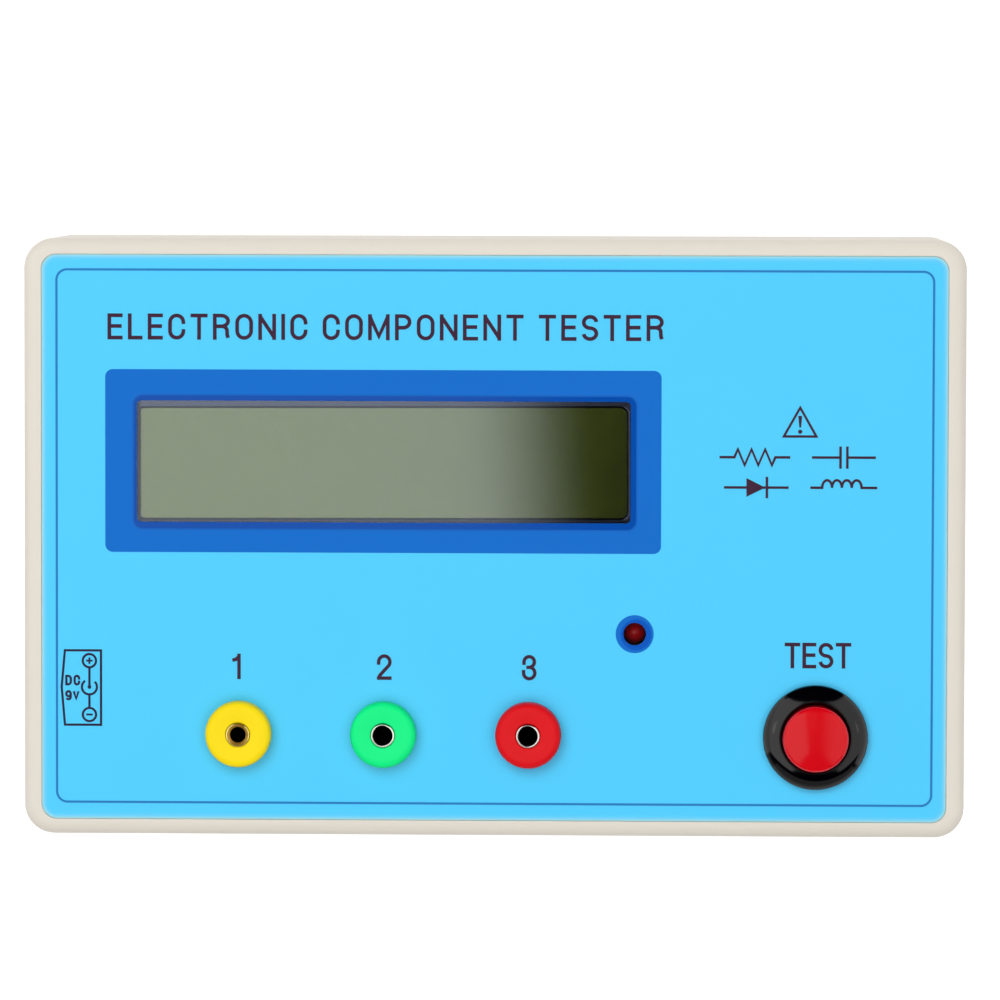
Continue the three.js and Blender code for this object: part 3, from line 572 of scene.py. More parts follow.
def make_back_cover():
    lip_top, lip_face = SEAM_BOTTOM + 1.4, WALL - 0.9  # the lip that goes up inside the front cover
    rings = [case_ring(WALL, FLOOR), case_ring(WALL, lip_top), case_ring(lip_face, lip_top)]
    rings += [case_ring(lip_face, SEAM_BOTTOM), case_ring(0.25, SEAM_BOTTOM)]
    rings += [case_ring(0, SEAM_BOTTOM - 0.25)]
    rings += outward_edge(EDGE, -1)
    holes = [inlet_drill()]
    for i in range(1, 5):
        at = middle(f"case_screw_{i}")
        holes.append(lathe([(3.1, -0.2), (WELL_RADIUS, 0.2), (WELL_RADIUS, WELL_DEPTH)], at.xy, 64))
    piece("back_cover_shell", skin(rings), CREAM, stands_for=["back_cover"],
          holes=holes)


BOARD_POST = 2.8
BOARD_PEGS = ((-55.5, -26.5), (20.8, 25.5))


def post(at, outer, bore, foot, top):
    """A hollow round post that a screw goes into."""
    return lathe([(outer, foot), (outer, top), (bore, top), (bore, foot)], at.xy, 48, closed=True)


def make_insides_of_covers():
    """The posts, walls and ribs inside the two covers, which hold the boards and the battery."""
    root = 0.1  # how far each of them goes into the wall it stands on
    foot, roof, notch = FLOOR - root, FRONT_INSIDE + root, SEAM_TOP + 1.5
    outer, through = 3.9, 1.5
    well = [(outer, foot), (outer, SEAM_BOTTOM), (through, SEAM_BOTTOM), (through, WELL_DEPTH)]
    well += [(WELL_RADIUS, WELL_DEPTH), (WELL_RADIUS, foot)]
    outer, clear_of_lip, pilot = 3.6, 3.3, 1.35
    stepped = [(clear_of_lip, SEAM_TOP), (clear_of_lip, notch), (outer, notch), (outer, roof)]
    stepped += [(pilot, roof), (pilot, SEAM_TOP)]
    back, front = [], []
    for i in range(1, 5):
        at = middle(f"case_screw_{i}").xy
        back.append(lathe(well, at, 64, closed=True))
        front.append(lathe(stepped, at, 48, closed=True))
        front.append(post(middle(f"lcd_screw_{i}"), 2.9, 1.25, high("lcd_board").z, roof))
    board = low("main_board").z
    back += [post(middle(f"board_screw_{i}"), BOARD_POST, 1.1, foot, board) for i in (1, 2)]
    back += [drill(BOARD_POST, foot, board, at, 48) for at in BOARD_PEGS]
    near, far = low("battery"), high("battery")
    front_end, left_end, right_end, wall_top = -9, 37, 29, 10
    back.append(box(near.x - 1.3, near.x - 0.3, front_end, left_end, foot, wall_top))
    back.append(box(far.x + 0.3, far.x + 1.3, front_end, right_end, foot, wall_top))
    back.append(box(33, 46, -15.4, -14.4, foot, 9))
    front += [box(29, 49, y, y + 1.4, far.z + 0.4, roof) for y in (0, 14, 28)]
    piece("back_cover_posts_and_walls", joined(back), CREAM)
    piece("front_cover_posts_and_ribs", joined(front), CREAM)


def cross_recess(reach, width, depth, at):
    """A tapering cross cut into the head of a screw that points down."""
    arms = []
    for turn in (0, pi / 2):
        outer = rounded_outline(2 * reach, width, width * 0.3, 3)
        inner = rounded_outline(reach * 0.8, width * 0.7, width * 0.2, 3)
        arm = skin([raised(outer, 0.2), raised(outer, -0.05), raised(inner, -depth)])
        facing_down = Matrix.Translation(at) @ Matrix.Rotation(pi, 4, "X")
        arms.append(moved(arm, facing_down @ Matrix.Rotation(turn, 4, "Z")))
    return arms


def make_case_screws():
    radius, dome = 2.6, 1.1  # the head's radius, and how far its domed face stands out
    root, crest, pitch = 1.0, 1.25, 1.1
    for i in range(1, 5):
        name = f"case_screw_{i}"
        at, face = middle(name), low(name).z
        head = [(0, face)]
        for share in (0.3, 0.55, 0.75, 0.88, 0.96):
            head.append((radius * share, face + dome * (1 - sqrt(1 - share * share))))
        head += [(radius, face + dome), (radius, face + 1.85), (radius - 0.15, face + 2)]
        shank = [(1.2, face + 2)]
        for turn in range(15):
            z = face + 4 + turn * pitch
            shank += [(root, z), (crest, z + 0.4), (root, z + 0.8)]
        shank += [(0, face + 20.9)]
        holes = cross_recess(1.5, 0.55, 1.1, (at.x, at.y, face))
        piece(f"{name}_turned", lathe(head + shank, at.xy, 48), ZINC, stands_for=[name],
              holes=holes)


# ---------------- front film and its printing

INK = 0.02  # how far the printing stands on the film
FRAME_MARGIN = (8.25, 8.14)  # how much wider and deeper the dark blue frame is than the window
FRAME_SHIFT = (-0.08, 0.06)
LAMP_SPOT = 1.5
LAMP_RING = 2.52
LAMP_CASE_HOLE = 2.05
LAMP_HOLE_PLACE = (LAMP.x + 0.18, LAMP.y - 0.08)
BORDER = (115.98, 70.7, 1.4, 0.3)  # width, depth, corner radius and line width of the thin printed border
BORDER_SHIFT = (0.03, 0.11)


def window_outline(spare=0, steps=8):
    return rounded_outline(WINDOW_SIZE.x - spare, WINDOW_SIZE.y - spare, 0.6, steps, WINDOW.x, WINDOW.y)


def make_film():
    spare = 0.02  # gap round the film and round its clear window
    width = FILM_SIZE.x + 2 * (FILM_GAP - spare)
    depth = FILM_SIZE.y + 2 * (FILM_GAP - spare)
    shape = soft_slab(width, depth, RECESS_CORNER, FILM_BACK, PANEL, 0.1, steps=14)
    through = (FILM_BACK - 1, PANEL + 1)
    holes = [slab(window_outline(), *through), drill(LAMP_SPOT, *through, LAMP.xy)]
    holes += [drill(3.25, *through, at.xy, 64) for at in SOCKETS.values()]
    holes += [drill(6.2, *through, BUTTON.xy, 64)]
    piece("front_film", shape, FILM, stands_for=["front_overlay"], holes=holes)
    piece("clear_display_window", slab(window_outline(spare), FILM_BACK, PANEL), CLEAR,
          stands_for=["display_window"])
    spot = drill(LAMP_SPOT - 0.005, FILM_BACK, PANEL, LAMP.xy)
    piece("clear_lamp_spot", spot, CLEAR)


def print_frame(name, outer, inner, material):
    piece(name, ring_slab(outer, inner, PANEL, PANEL + INK), material)


def make_printed_frames():
    width, depth = WINDOW_SIZE.x + FRAME_MARGIN[0], WINDOW_SIZE.y + FRAME_MARGIN[1]
    outer = rounded_outline(width, depth, 1, 10, WINDOW.x + FRAME_SHIFT[0], WINDOW.y + FRAME_SHIFT[1])
    opening, grown = display_opening(), display_opening(0.2)
    print_frame("printed_display_frame", outer, grown, FRAME_INK)
    # a thin darker ring painted at the opening's edge for the shadow line there
    print_frame("opening_edge_painted_shadow", grown, opening, OPENING_EDGE_SHADE)
    print_frame("printed_window_band", opening, window_outline(steps=10), BAND_INK)
    width, depth, corner, line = BORDER
    border = []
    for out in (line, -line):
        border.append(rounded_outline(width + out, depth + out, corner + out / 2, 12, *BORDER_SHIFT))
    print_frame("printed_border_line", *border, LINE_INK)
    ring, spot = [circle(LAMP.x, LAMP.y, radius, 96) for radius in (LAMP_RING, LAMP_SPOT)]
    hole = circle(*LAMP_HOLE_PLACE, LAMP_CASE_HOLE, 96)
    print_frame("printed_lamp_ring", ring, hole, FRAME_INK)
    print_frame("printed_lamp_ring_over_hole", hole, spot, LAMP_INK)


def ribbon(path, width, ring=False):
    """A flat stroke along a path of (x, y) points. Upright and level ends go half a width further."""
    points = [Vector(point) for point in path]
    count = len(points)
    if not ring:
        for end, before in ((0, 1), (-1, -2)):
            way = (points[end] - points[before]).normalized()
            if abs(way.x * way.y) < 0.2:
                points[end] = points[end] + way * width / 2
    rings = []
    for i, point in enumerate(points):
        before = points[i - 1] if i or ring else point
        after = points[(i + 1) % count] if i < count - 1 or ring else point
        first = (point - before).normalized() if point != before else (after - point).normalized()
        second = (after - point).normalized() if point != after else first
        side = (first + second).normalized().orthogonal()
        reach = width / 2 / max(0.5, side.dot(first.orthogonal()))
        left, right = point + side * reach, point - side * reach
        section = [(left, PANEL), (left, PANEL + INK), (right, PANEL + INK), (right, PANEL)]
        rings.append([(spot.x, spot.y, z) for spot, z in section])
    return skin(rings, closed=ring)


STEM = [(0, 0), (0, 1)]
# Each letter has its width as a share of its height, and its strokes in a unit square.
LETTERS = {
    "C": (0.42, [bow(0.5, 0.7, 0.5, 0.3, 0, 180) + bow(0.5, 0.3, 0.5, 0.3, 180, 360)]),
    "D": (0.42, [
        STEM,
        [(0, 1)] + bow(0.4, 0.66, 0.6, 0.34, 90, 0) + bow(0.4, 0.34, 0.6, 0.34, 0, -90) + [(0, 0)],
    ]),
    "E": (0.36, [STEM, [(0, 1), (1, 1)], [(0, 0.52), (0.92, 0.52)], [(0, 0), (1, 0)]]),
    "I": (0.0, [STEM]),
    "L": (0.34, [STEM, [(0, 0), (1, 0)]]),
    "M": (0.56, [STEM, [(0, 0.97), (0.5, 0.1), (1, 0.97)], [(1, 0), (1, 1)]]),
    "N": (0.44, [STEM, [(0, 0.97), (1, 0.03)], [(1, 0), (1, 1)]]),
    "O": (0.44, [bow(0.5, 0.68, 0.5, 0.32, 0, 180) + bow(0.5, 0.32, 0.5, 0.32, 180, 360) + [(1, 0.68)]]),
    "P": (0.4, [STEM, [(0, 1)] + bow(0.5, 0.74, 0.5, 0.26, 90, -90) + [(0, 0.48)]]),
    "R": (0.42, [
        STEM,
        [(0, 1)] + bow(0.5, 0.76, 0.5, 0.24, 90, -90) + [(0, 0.52)],
        [(0.5, 0.52)] + bow(0.52, 0.32, 0.4, 0.2, 90, 0, 8) + [(0.93, 0.14), (1, 0)],
    ]),
    "S": (0.4, [bow(0.5, 0.745, 0.5, 0.255, 5, 270) + bow(0.5, 0.245, 0.5, 0.245, 90, -175)]),
    "T": (0.42, [[(0, 1), (1, 1)], [(0.5, 0), (0.5, 1)]]),
    "V": (0.46, [[(0, 1), (0.5, 0.08), (1, 1)]]),
    "1": (0.26, [[(1, 0), (1, 1)], [(0, 0.775), (0.55, 0.82), (0.9, 0.92)]]),
    "2": (0.44, [
        [(0, 0.68)] + bow(0.5, 0.73, 0.5, 0.27, 180, -35) + [(0.1, 0.12), (0.04, 0)],
        [(0, 0), (1, 0)],
    ]),
    "3": (0.44, [
        [(0.04, 0.7)] + bow(0.5, 0.76, 0.46, 0.24, 180, -75),
        bow(0.5, 0.26, 0.5, 0.26, 80, -180) + [(0, 0.32)],
        [(0.4, 0.515), (0.62, 0.515)],
    ]),
    "9": (0.42, [
        bow(0.5, 0.68, 0.5, 0.32, 0, 360, 24),
        [(1, 0.68), (1, 0.3)] + bow(0.5, 0.27, 0.5, 0.27, 0, -150),
    ]),
}


def lettering(text, left, bottom, width, cap, weight, stretch=1.0):
    """Strokes for a line of capitals that fills a given width."""
    line = cap - weight
    shares = [LETTERS[letter][0] * cap * stretch if letter != " " else 0 for letter in text]
    letters_only = sum(share + weight for share, letter in zip(shares, text) if letter != " ")
    gaps = max(1, len(text) - 1 + 0.9 * text.count(" "))
    gap = (width - letters_only) / gaps
    strokes, x = [], left
    for share, letter in zip(shares, text):
        if letter == " ":
            x += gap * 1.9
            continue
        for path in LETTERS[letter][1]:
            placed = [(x + weight / 2 + px * share, bottom + weight / 2 + py * line) for px, py in path]
            strokes.append(ribbon(placed, weight))
        x += share + weight + gap
    return strokes


def patch(outline):
    return slab(outline, PANEL, PANEL + INK)


def disc(x, y, radius):
    return patch(circle(x, y, radius, 24))


def inlet_symbol():
    """A polarity sign for the DC inlet, in a box that points at the left wall."""
    line, thin, top, bottom = 0.3, 0.26, -15.08, -24.98
    x, y = -53.64, -19.95
    outline = [(-56.9, top), (-52.1, top), (-52.1, bottom), (-56.9, bottom), (-57.33, y)]
    strokes = [ribbon(outline, line, ring=True)]
    for sign_y in (-16.45, -23.62):
        strokes.append(ribbon(circle(x, sign_y, 0.88), line, ring=True))
        strokes.append(ribbon([(x - 0.3, sign_y), (x + 0.3, sign_y)], thin))
    strokes.append(ribbon([(x, -16.75), (x, -16.15)], thin))
    strokes.append(ribbon([(x, -17.5), (x, y - 0.1)], line))
    strokes.append(disc(x, y, 0.25))
    strokes.append(ribbon(bow(x, y, 1.0, 1.0, 125, 405, 24), line))
    strokes.append(ribbon([(x, -21.1), (x, -22.6)], line))
    strokes += lettering("DC", -56.86, -19.76, 2.0, 1.42, 0.3)
    strokes += lettering("9V", -56.86, -21.74, 1.92, 1.36, 0.3)
    return strokes


def caution_triangle():
    x, top, bottom = 40.46, 17.47, 13.67
    line = 0.32
    corners = [(x, top), (x + 2.15, bottom), (x - 2.15, bottom)]
    taper = [(x - 0.26, 16.4), (x + 0.26, 16.4), (x + 0.12, 14.85), (x - 0.12, 14.85)]
    return [ribbon(corners, line, ring=True), patch(taper), disc(x, 14.3, 0.28)]


def component_signs():
    """Circuit signs for what the tester measures: resistor, capacitor, diode and inductor."""
    line = 0.34
    strokes = []
    y = 10.9
    zigzag = [(30, y), (31.8, y)]
    zigzag += [(32.25 + 0.9 * i, y + (1.05 if i % 2 == 0 else -1.05)) for i in range(6)]
    zigzag += [(37.2, y), (39, y)]
    strokes.append(ribbon(zigzag, line))
    for side, plate in ((-1, 45.8), (1, 46.7)):
        strokes.append(ribbon([(plate, y - 1.3), (plate, y + 1.3)], line))
        strokes.append(ribbon([(plate, y), (plate + side * 3.6, y)], line))
    y = 6.9
    strokes.append(ribbon([(30.6, y), (38.8, y)], line))
    strokes.append(patch([(33.4, y - 1.25), (35.9, y), (33.4, y + 1.25)]))
    strokes.append(ribbon([(36.1, y - 1.25), (36.1, y + 1.25)], line))
    coil = [(42, y)]
    for turn in range(4):
        coil += bow(44.05 + 1.3 * turn, y, 0.65, 1.0, 180, 0, 12)
    coil += [(50.5, y)]
    strokes.append(ribbon(coil, line))
    return strokes


def print_strokes(name, strokes, material=TEXT_INK):
    piece(name, joined(strokes), material, merge=True)


def make_lettering():
    title = "ELECTRONIC COMPONENT TESTER"
    print_strokes("printed_title", lettering(title, -51.2, 26.2, 73.6, 3.45, 0.5, stretch=1.22))
    digits = []
    for digit, at, left in zip("123", SOCKETS.values(), (-1.12, -0.9, -0.88)):
        digits += lettering(digit, at.x + left, -18.82, 2, 3.4, 0.46)
    print_strokes("printed_socket_numbers", digits)
    print_strokes("printed_button_name", lettering("TEST", 38.55, -17.04, 8.81, 3.4, 0.48, stretch=1.1))
    print_strokes("printed_inlet_sign", inlet_symbol(), SIGN_INK)
    print_strokes("printed_caution_sign", caution_triangle())
    print_strokes("printed_component_signs", component_signs())


# ---------------- display


VIEW_WIDTH, VIEW_DEPTH = 65, 14.6  # the hole in the display's bezel
VIEW_SHIFT, VIEW_TURN = -0.22, radians(0.18)


def make_display():
    at = middle("lcd_bezel")
    size = high("lcd_bezel") - low("lcd_bezel")
    top, bottom = high("lcd_bezel").z, low("lcd_bezel").z
    sheet, roll = 0.5, 0.35

    def outline(width, depth, radius):
        return rounded_outline(width, depth, radius, 10, at.x, at.y)

    def opening(width, depth, radius):
        """The hole in the bezel, which sits a little off centre and askew, as pressed parts do."""
        askew = Matrix.Translation((at.x + VIEW_SHIFT, at.y, 0)) @ Matrix.Rotation(VIEW_TURN, 4, "Z")
        straight = raised(rounded_outline(width, depth, radius, 10), 0)
        return [tuple((askew @ Vector(point)).xy) for point in straight]

    rings = [raised(outline(size.x, size.y, 0.6), bottom)]
    for out, z in arc(-0.3, top - 0.3, 0.3, 0, 90, 5):
        rings.append(raised(outline(size.x + 2 * out, size.y + 2 * out, 0.6), z))
    for out, z in arc(-roll, top - roll, roll, 90, 0, 6):
        rings.append(raised(opening(VIEW_WIDTH - 2 * out, VIEW_DEPTH - 2 * out, 1.0 - out * 0.4), z))
    rings += [raised(opening(VIEW_WIDTH + grow, VIEW_DEPTH + grow, 1), top - 0.45) for grow in (0, 0.6)]
    rings += [raised(outline(size.x - 2 * sheet, size.y - 2 * sheet, 0.4), top - sheet)]
    rings += [raised(outline(size.x - 2 * sheet, size.y - 2 * sheet, 0.4), bottom)]
    piece("display_bezel", skin(rings, closed=True), BEZEL_BLACK, stands_for=["lcd_bezel"])
    glass_low, glass_high = low("lcd_glass"), high("lcd_glass")
    cell = glass_high - glass_low
    spot = middle("lcd_glass")
    shape = soft_slab(cell.x, cell.y, 0.3, glass_low.z, glass_high.z, 0.1, spot.x, spot.y, 4)
    piece("display_cell_glass", shape, CELL, stands_for=["lcd_glass"])


# ---------------- sockets, lamp, button and inlet


SOCKET_BORES = {"yellow": 1.02, "green": 1.2, "red": 1.2}  # radius of each pin hole
WORN_SOCKET = "yellow"
COLLAR, BUSH = 4.36, 3.1  # radius of a socket's coloured collar, and of the neck that goes through the film


def make_sockets():
    for colour, at in SOCKETS.items():
        top = high(f"{colour}_socket_insulator").z
        foot = low(f"{colour}_socket_insulator").z
        edge = 0.95
        profile = [(1.62, foot), (BUSH, foot), (BUSH, PANEL + 0.04), (4.2, PANEL + 0.04)]
        profile += [(COLLAR, PANEL + 0.2)] + arc(COLLAR - edge, top - edge, edge, 0, 90, 8)
        profile += [(BUSH, top - 0.03), (2.0, top - 0.1), (1.72, top - 0.17), (1.62, top - 0.3)]
        piece(f"{colour}_socket_collar", lathe(profile, at.xy, 128, closed=True), SOCKET_PLASTIC[colour],
              stands_for=[f"{colour}_socket_insulator"])
        painted_edge_light, lip = top - 0.02, 0.12
        sleeve = [(0, 16), (1.6, 16), (1.9, 16.3), (1.9, 29.5), (1.55, 29.5), (1.55, painted_edge_light - lip)]
        sleeve += arc(1.55 - lip, painted_edge_light - lip, lip, 0, 90, 4)
        worn = colour == WORN_SOCKET
        if worn:
            sleeve += [(1.42, painted_edge_light - 0.03), (1.42, painted_edge_light - 0.85)]
        else:
            sleeve += [(1.34, painted_edge_light - 0.02), (1.27, painted_edge_light - 0.12)]
        sleeve += [(1.25, painted_edge_light - 1), (1.25, 19), (0, 18.6)]
        piece(f"{colour}_socket_sleeve", lathe(sleeve, at.xy, 64), PALE_GOLD if worn else NICKEL,
              stands_for=[f"{colour}_socket_contact"])
        bore = SOCKET_BORES[colour]
        # the lining is painted dark for the shade inside the pin hole
        lining = [(1.24, 19.2), (1.24, painted_edge_light - 0.8), (bore, painted_edge_light - 0.9), (bore, 19.6), (0, 19.6), (0, 19.2)]
        piece(f"{colour}_socket_lining", lathe(lining, at.xy, 64), BORE_SHADE)
    make_worn_mouth()


def make_worn_mouth():
    """The gold-plated cone in the mouth of the worn socket, whose hole is smaller."""
    at, top = SOCKETS[WORN_SOCKET], high(f"{WORN_SOCKET}_socket_insulator").z
    bore = SOCKET_BORES[WORN_SOCKET] + 0.04
    cone = [(1.41, top - 0.07), (bore, top - 0.5), (bore, top - 0.86), (1.41, top - 0.86)]
    piece(f"{WORN_SOCKET}_socket_mouth", lathe(cone, at.xy, 64, closed=True), WORN_GOLD)


def make_lamp():
    top = high("status_led").z
    foot = low("status_led").z
    flange = top - 5.3
    profile = [(0, flange), (1.9, flange), (1.9, flange + 0.9), (1.8, flange + 1), (1.5, flange + 1)]
    profile += arc(0, top - 1.5, 1.5, 0, 90, 14)
    legs = []
    for x in (LAMP.x - 1.27, LAMP.x + 1.27):
        legs.append(box(x - 0.25, x + 0.25, LAMP.y - 0.25, LAMP.y + 0.25, foot, flange + 0.5))
    piece("status_lamp", joined([lathe(profile, LAMP.xy, 64), *legs]), RESIN, stands_for=["status_led"],
          merge=True)


def make_button():
    foot = low("test_button_housing").z
    top = high("test_button_housing").z
    outer, bore, inner = 6.93, 4.6, 4.72
    flattest, steepest = radians(3), radians(42)
    crown = (outer - inner) / (sin(steepest) - sin(flattest))  # radius of the ring's round top
    axis_r, axis_z = inner - crown * sin(flattest), top - crown * cos(flattest)
    ring = [(axis_r + crown * sin(slope), axis_z + crown * cos(slope))
            for slope in (steepest + (flattest - steepest) * i / 20 for i in range(21))]
    profile = [(0, foot), (5.5, foot), (5.9, foot + 0.4), (5.9, PANEL + 0.04), (outer - 0.12, PANEL + 0.04)]
    profile += [(outer, PANEL + 0.16), (outer, ring[0][1] - 0.12), (outer - 0.02, ring[0][1] - 0.02)]
    profile += ring[1:]
    profile += [(bore + 0.04, top - 0.03), (bore, top - 0.12), (bore, 22), (3.9, 22), (3.9, 15), (0, 15)]
    piece("test_button_bezel", lathe(profile, BUTTON.xy, 128), GLOSS_BLACK,
          stands_for=["test_button_housing"])
    cap_top, cap_foot = high("test_button_cap").z, low("test_button_cap").z
    radius, edge, rise = 4.35, 0.55, 0.26
    cap = [(0, cap_foot), (1.2, cap_foot), (1.2, 27), (radius, 27)]
    cap += arc(radius - edge, cap_top - rise - edge, edge, 0, 80, 7)
    crown_r, crown_z = cap[-1]
    cap += [(crown_r * share, cap_top - (cap_top - crown_z) * share ** 2)
            for share in (0.92, 0.84, 0.76, 0.68, 0.6, 0.5, 0.4, 0.3, 0.2, 0.1, 0)]
    piece("test_button_red_cap", lathe(cap, BUTTON.xy, 128), CAP_RED, body="test_button",
          stands_for=["test_button_cap"])


def make_spring():
    """The return spring, at its length in the CAD frame; the real one shortens as the button goes down."""
    foot, top = low("test_button_spring").z, high("test_button_spring").z
    wire, radius, turns, steps, sides = 0.2, 4.25, 4, 30, 10
    rings = []
    for i in range(turns * steps + 1):
        angle = 2 * pi * i / steps
        z = foot + wire + (top - foot - 2 * wire) * i / (turns * steps)
        out = Vector((cos(angle), sin(angle), 0))
        centre = Vector((BUTTON.x, BUTTON.y, z)) + out * radius
        around = [2 * pi * k / sides for k in range(sides)]
        rings.append([tuple(centre + out * wire * cos(a) + Vector((0, 0, wire * sin(a)))) for a in around])
    made = piece("test_button_coil_spring", skin(rings), ZINC, stands_for=["test_button_spring"])
    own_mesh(made)


def make_inlet():
    lo, hi = low("dc_jack_housing"), high("dc_jack_housing")
    along = Matrix.Translation((0, INLET.y, INLET.z)) @ Matrix.Rotation(pi / 2, 4, "Y")
    off_axis = INLET.z - middle("dc_jack_housing").z
    body = soft_slab(hi.z - lo.z, hi.y - lo.y, 0.5, lo.x, hi.x, 0.3, off_axis, 0, 6)
    flip = Matrix.Translation((lo.x + hi.x, 0, 0)) @ Matrix.Scale(-1, 4, (1, 0, 0))
    housing = moved(body, flip @ along)
    mouth, bore = 3.4, 3.15
    profile = [(mouth, lo.x - 1), (mouth, lo.x + 0.05), (bore, lo.x + 0.35), (bore, lo.x + 9.7)]
    holes = [lathe(profile, (0, 0), 64), drill(1.1, lo.x + 9, hi.x + 1, (0, 0), 32)]
    piece("dc_inlet_housing", housing, SATIN_BLACK, stands_for=["dc_jack_housing"],
          holes=[moved(hole, along) for hole in holes])
    start, end = low("dc_jack_centre_pin").x, high("dc_jack_centre_pin").x
    pin = [(0, start)]
    pin += [(0.5 + 0.5 * sin(a), start + 0.5 - 0.5 * cos(a)) for a in (0, pi / 6, pi / 3, pi / 2)]
    pin += [(1, end), (0, end)]
    piece("dc_inlet_pin", moved(lathe(pin, (0, 0), 48), along), NICKEL,
          stands_for=["dc_jack_centre_pin"])


# ---------------- studio


def look_at(thing, place, target, up=(0, 1, 0), roll=0):
    """Places a lamp or camera, in millimetres, so that it faces its target."""
    back = (Vector(place) - Vector(target)).normalized()
    right = Vector(up).cross(back).normalized()
    turn = Matrix((right, back.cross(right), back)).transposed().to_4x4()
    rolled = turn @ Matrix.Rotation(radians(roll), 4, "Z")
    thing.matrix_world = Matrix.Translation(Vector(place) * MM) @ rolled


def softbox(name, place, target, width, depth, radiance, up=(0, 1, 0), lights="all"):
    """A rectangular area lamp of even brightness, with sizes in millimetres.

    It doesn't show in the background. A lamp for "gloss" shows in reflections only, and one for "matte"
    lights surfaces but shows in no reflection.
    """
    data = bpy.data.lights.new(name, "AREA")
    data.shape = "RECTANGLE"
    data.size, data.size_y = width * MM, depth * MM
    data.energy = radiance * data.size * data.size_y * pi
    made = bpy.data.objects.new(name, data)
    bpy.context.scene.collection.objects.link(made)
    look_at(made, place, target, up)
    made.visible_camera = False
    made.visible_glossy = lights != "matte"
    made.visible_diffuse = lights != "gloss"
    return made


def ramp_along(tree, output, axis, target, values):
    """Drives the strength of a light's node with a soft step along one axis of its coordinates."""
    place = tree.nodes.new("ShaderNodeTexCoord")
    split = tree.nodes.new("ShaderNodeSeparateXYZ")
    ramp = tree.nodes.new("ShaderNodeMapRange")
    ramp.interpolation_type = "SMOOTHSTEP"
    for socket, value in values.items():
        ramp.inputs[socket].default_value = value
    tree.links.new(place.outputs[output], split.inputs[0])
    tree.links.new(split.outputs[axis], ramp.inputs["Value"])
    tree.links.new(ramp.outputs["Result"], tree.nodes[target].inputs["Strength"])


def fade_edge(lamp, start, end):
    """Darkens a softbox from one share of its width to another, as its cloth does past its lamps."""
    lamp.data.use_nodes = True
    ramp_along(lamp.data.node_tree, "UV", "X", "Emission", {"From Min": end, "From Max": start})


def black_card(name, corners):
    """A card that shows in reflections only, where the real studio is dark."""
    shader = Shader(name)
    cloth = shader.mix(shader.noise(60), (0, 0, 0, 1), (0.003, 0.003, 0.003, 1))
    made = mesh_object(name, (corners, [tuple(range(len(corners)))]))
    made.data.materials.append(shader.finished({"Base Color": cloth, "Specular IOR Level": 0}))
    for ray in ("camera", "diffuse", "transmission", "shadow"):
        setattr(made, f"visible_{ray}", False)


def make_world():
    """White walls all round, getting dark overhead, where the camera is."""
    world = bpy.data.worlds.new("studio")
    bpy.context.scene.world = world
    world.use_nodes = True
    values = {"From Min": 0.1, "From Max": 0.5, "To Min": 0.8, "To Max": 0.02}
    ramp_along(world.node_tree, "Generated", "Z", "Background", values)
    world.node_tree.nodes["Background"].inputs["Color"].default_value = (1, 1, 1, 1)


CEILING = 1032  # height of the two big softboxes over the table
GAP = (4, 70)  # from the left softbox's edge to the right one's
LEFT_WALL, RIGHT_WALL = -1250, 1300
FRONT_WALL = -1130


def overhead(name, x, y, width, depth, radiance, drop=0, tilt=0):
    """A softbox that hangs over the table and shows in reflections only."""
    return softbox(name, (x, y, CEILING - drop), (x, y, 0), width, depth, radiance, up=(-tilt, 1, 0),
                   lights="gloss")


def white_wall(name, place, target, width, height, radiance):
    softbox(name, place, target, width, height, radiance, up=(0, 0, 1), lights="gloss")


def make_softboxes():
    """Two softboxes over the table with a dark gap between them, and white walls round it."""
    depth, middle_y, tilt = 2050, 430, 0.07
    width = GAP[0] - LEFT_WALL
    middle_x = (LEFT_WALL + GAP[0]) / 2 - middle_y * tilt
    over_left = overhead("left_softbox", middle_x, middle_y, width, depth, 1.22, tilt=tilt)
    fade_edge(over_left, 1 - 46 / width, 1 - 8 / width)
    width = RIGHT_WALL - GAP[1]
    over_right = overhead("right_softbox", (RIGHT_WALL + GAP[1]) / 2, middle_y, width, depth, 0.9)
    fade_edge(over_right, 190 / width, 0)
    overhead("bridge_between_softboxes", 37, 70, 66, 160, 0.3)
    overhead("left_strip", -640, 50, 280, 200, 0.9, drop=12)
    overhead("right_strip", 818, 60, 220, 160, 0.8, drop=12)
    half = CEILING / 2
    white_wall("left_wall", (LEFT_WALL, 455, half), (0, 455, half), 2090, CEILING, 0.9)
    white_wall("right_wall", (RIGHT_WALL, 325, half), (0, 325, half), 2550, CEILING, 0.95)
    white_wall("front_wall", (0, FRONT_WALL, 650), (0, 0, 650), 2600, 1300, 0.3)


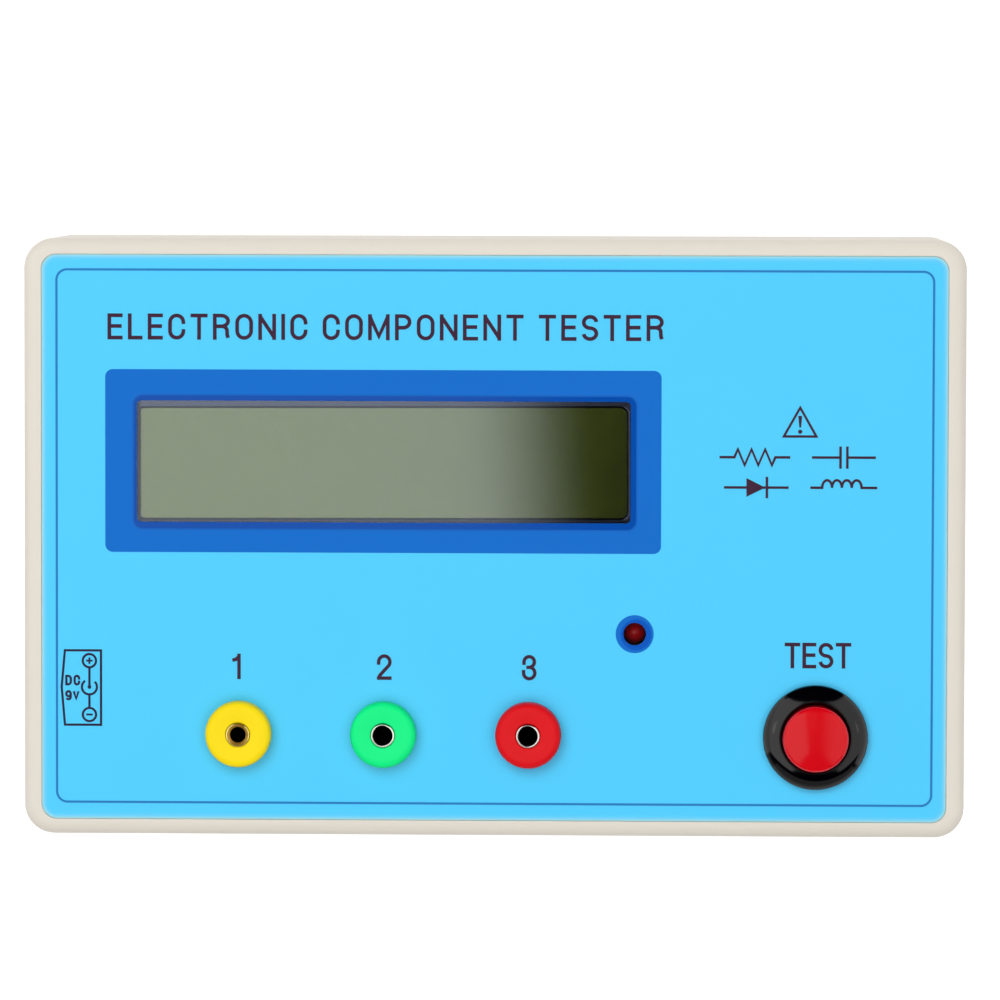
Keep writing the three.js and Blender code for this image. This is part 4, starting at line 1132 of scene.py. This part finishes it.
def make_black_cards():
    """Dark parts of the room: a wedge and a wall behind the camera, and a band in front of it."""
    z, far, left, right = CEILING - 20, 1450, -1050, 1150
    black_card("dark_room_behind", [(0, 150, z), (125, 150, z), (right, far, z), (left, far, z)])
    black_card("dark_wall_behind", [(right, far, z), (right, far, 0), (left, far, 0), (left, far, z)])
    front = [(-20, -250), (140, -250), (400, -600), (1080, -980), (1080, -1000), (200, -960)]
    front += [(-100, -960), (-1200, -770), (-1200, -720), (-260, -600)]
    black_card("dark_room_in_front", raised(front, z))


def make_floor():
    shader = Shader("pale_floor_paper")
    paper = shader.finished({
        "Base Color": shader.mix(shader.noise(40), (0.34, 0.34, 0.34, 1), (0.36, 0.36, 0.36, 1)),
        "Roughness": 0.9,
        "Specular IOR Level": 0.1,
        "Emission Color": (1, 1, 1, 1),
        "Emission Strength": 0.85,
    })
    bpy.ops.mesh.primitive_plane_add(size=12, location=(0, 0, 0))
    floor = bpy.context.object
    floor.name = "floor"
    floor.data.materials.append(paper)


# The camera stands almost straight over the panel, a little to the right of its middle and behind it.
CAMERA_PLACE = (25.03, 53.19, PANEL + 868.03)
CAMERA_TARGET = (0.824, 5.116, PANEL)
CAMERA_ROLL = 0.135  # in degrees


def make_camera():
    data = bpy.data.cameras.new("camera")
    data.lens = 236.64
    data.sensor_width = 36
    data.clip_end = 20
    camera = bpy.data.objects.new("camera", data)
    bpy.context.scene.collection.objects.link(camera)
    look_at(camera, CAMERA_PLACE, CAMERA_TARGET, roll=CAMERA_ROLL)
    bpy.context.scene.camera = camera


def make_studio():
    bpy.context.scene.view_settings.view_transform = "Standard"
    make_world()
    make_softboxes()
    make_black_cards()
    softbox("tent_top", (0, 0, 1300), (0, 0, 0), 1900, 1900, 2.15, lights="matte")
    softbox("key_softbox", (-250, 500, 950), (0, 0, 20), 600, 600, 2.8, lights="matte")
    make_floor()
    make_camera()


# ---------------- the whole tester


def finish_cad_nodes():
    for row in frame["record"]["subparts"]:
        node = frame["nodes"][row["node"]]
        node.data.materials.clear()
        node.data.materials.append(SLOT_MATERIALS[row["material_slot"]])


make_studio()
finish_cad_nodes()
make_front_cover()
make_back_cover()
make_insides_of_covers()
make_case_screws()
make_film()
make_printed_frames()
make_lettering()
make_display()
make_sockets()
make_lamp()
make_button()
make_spring()
make_inlet()
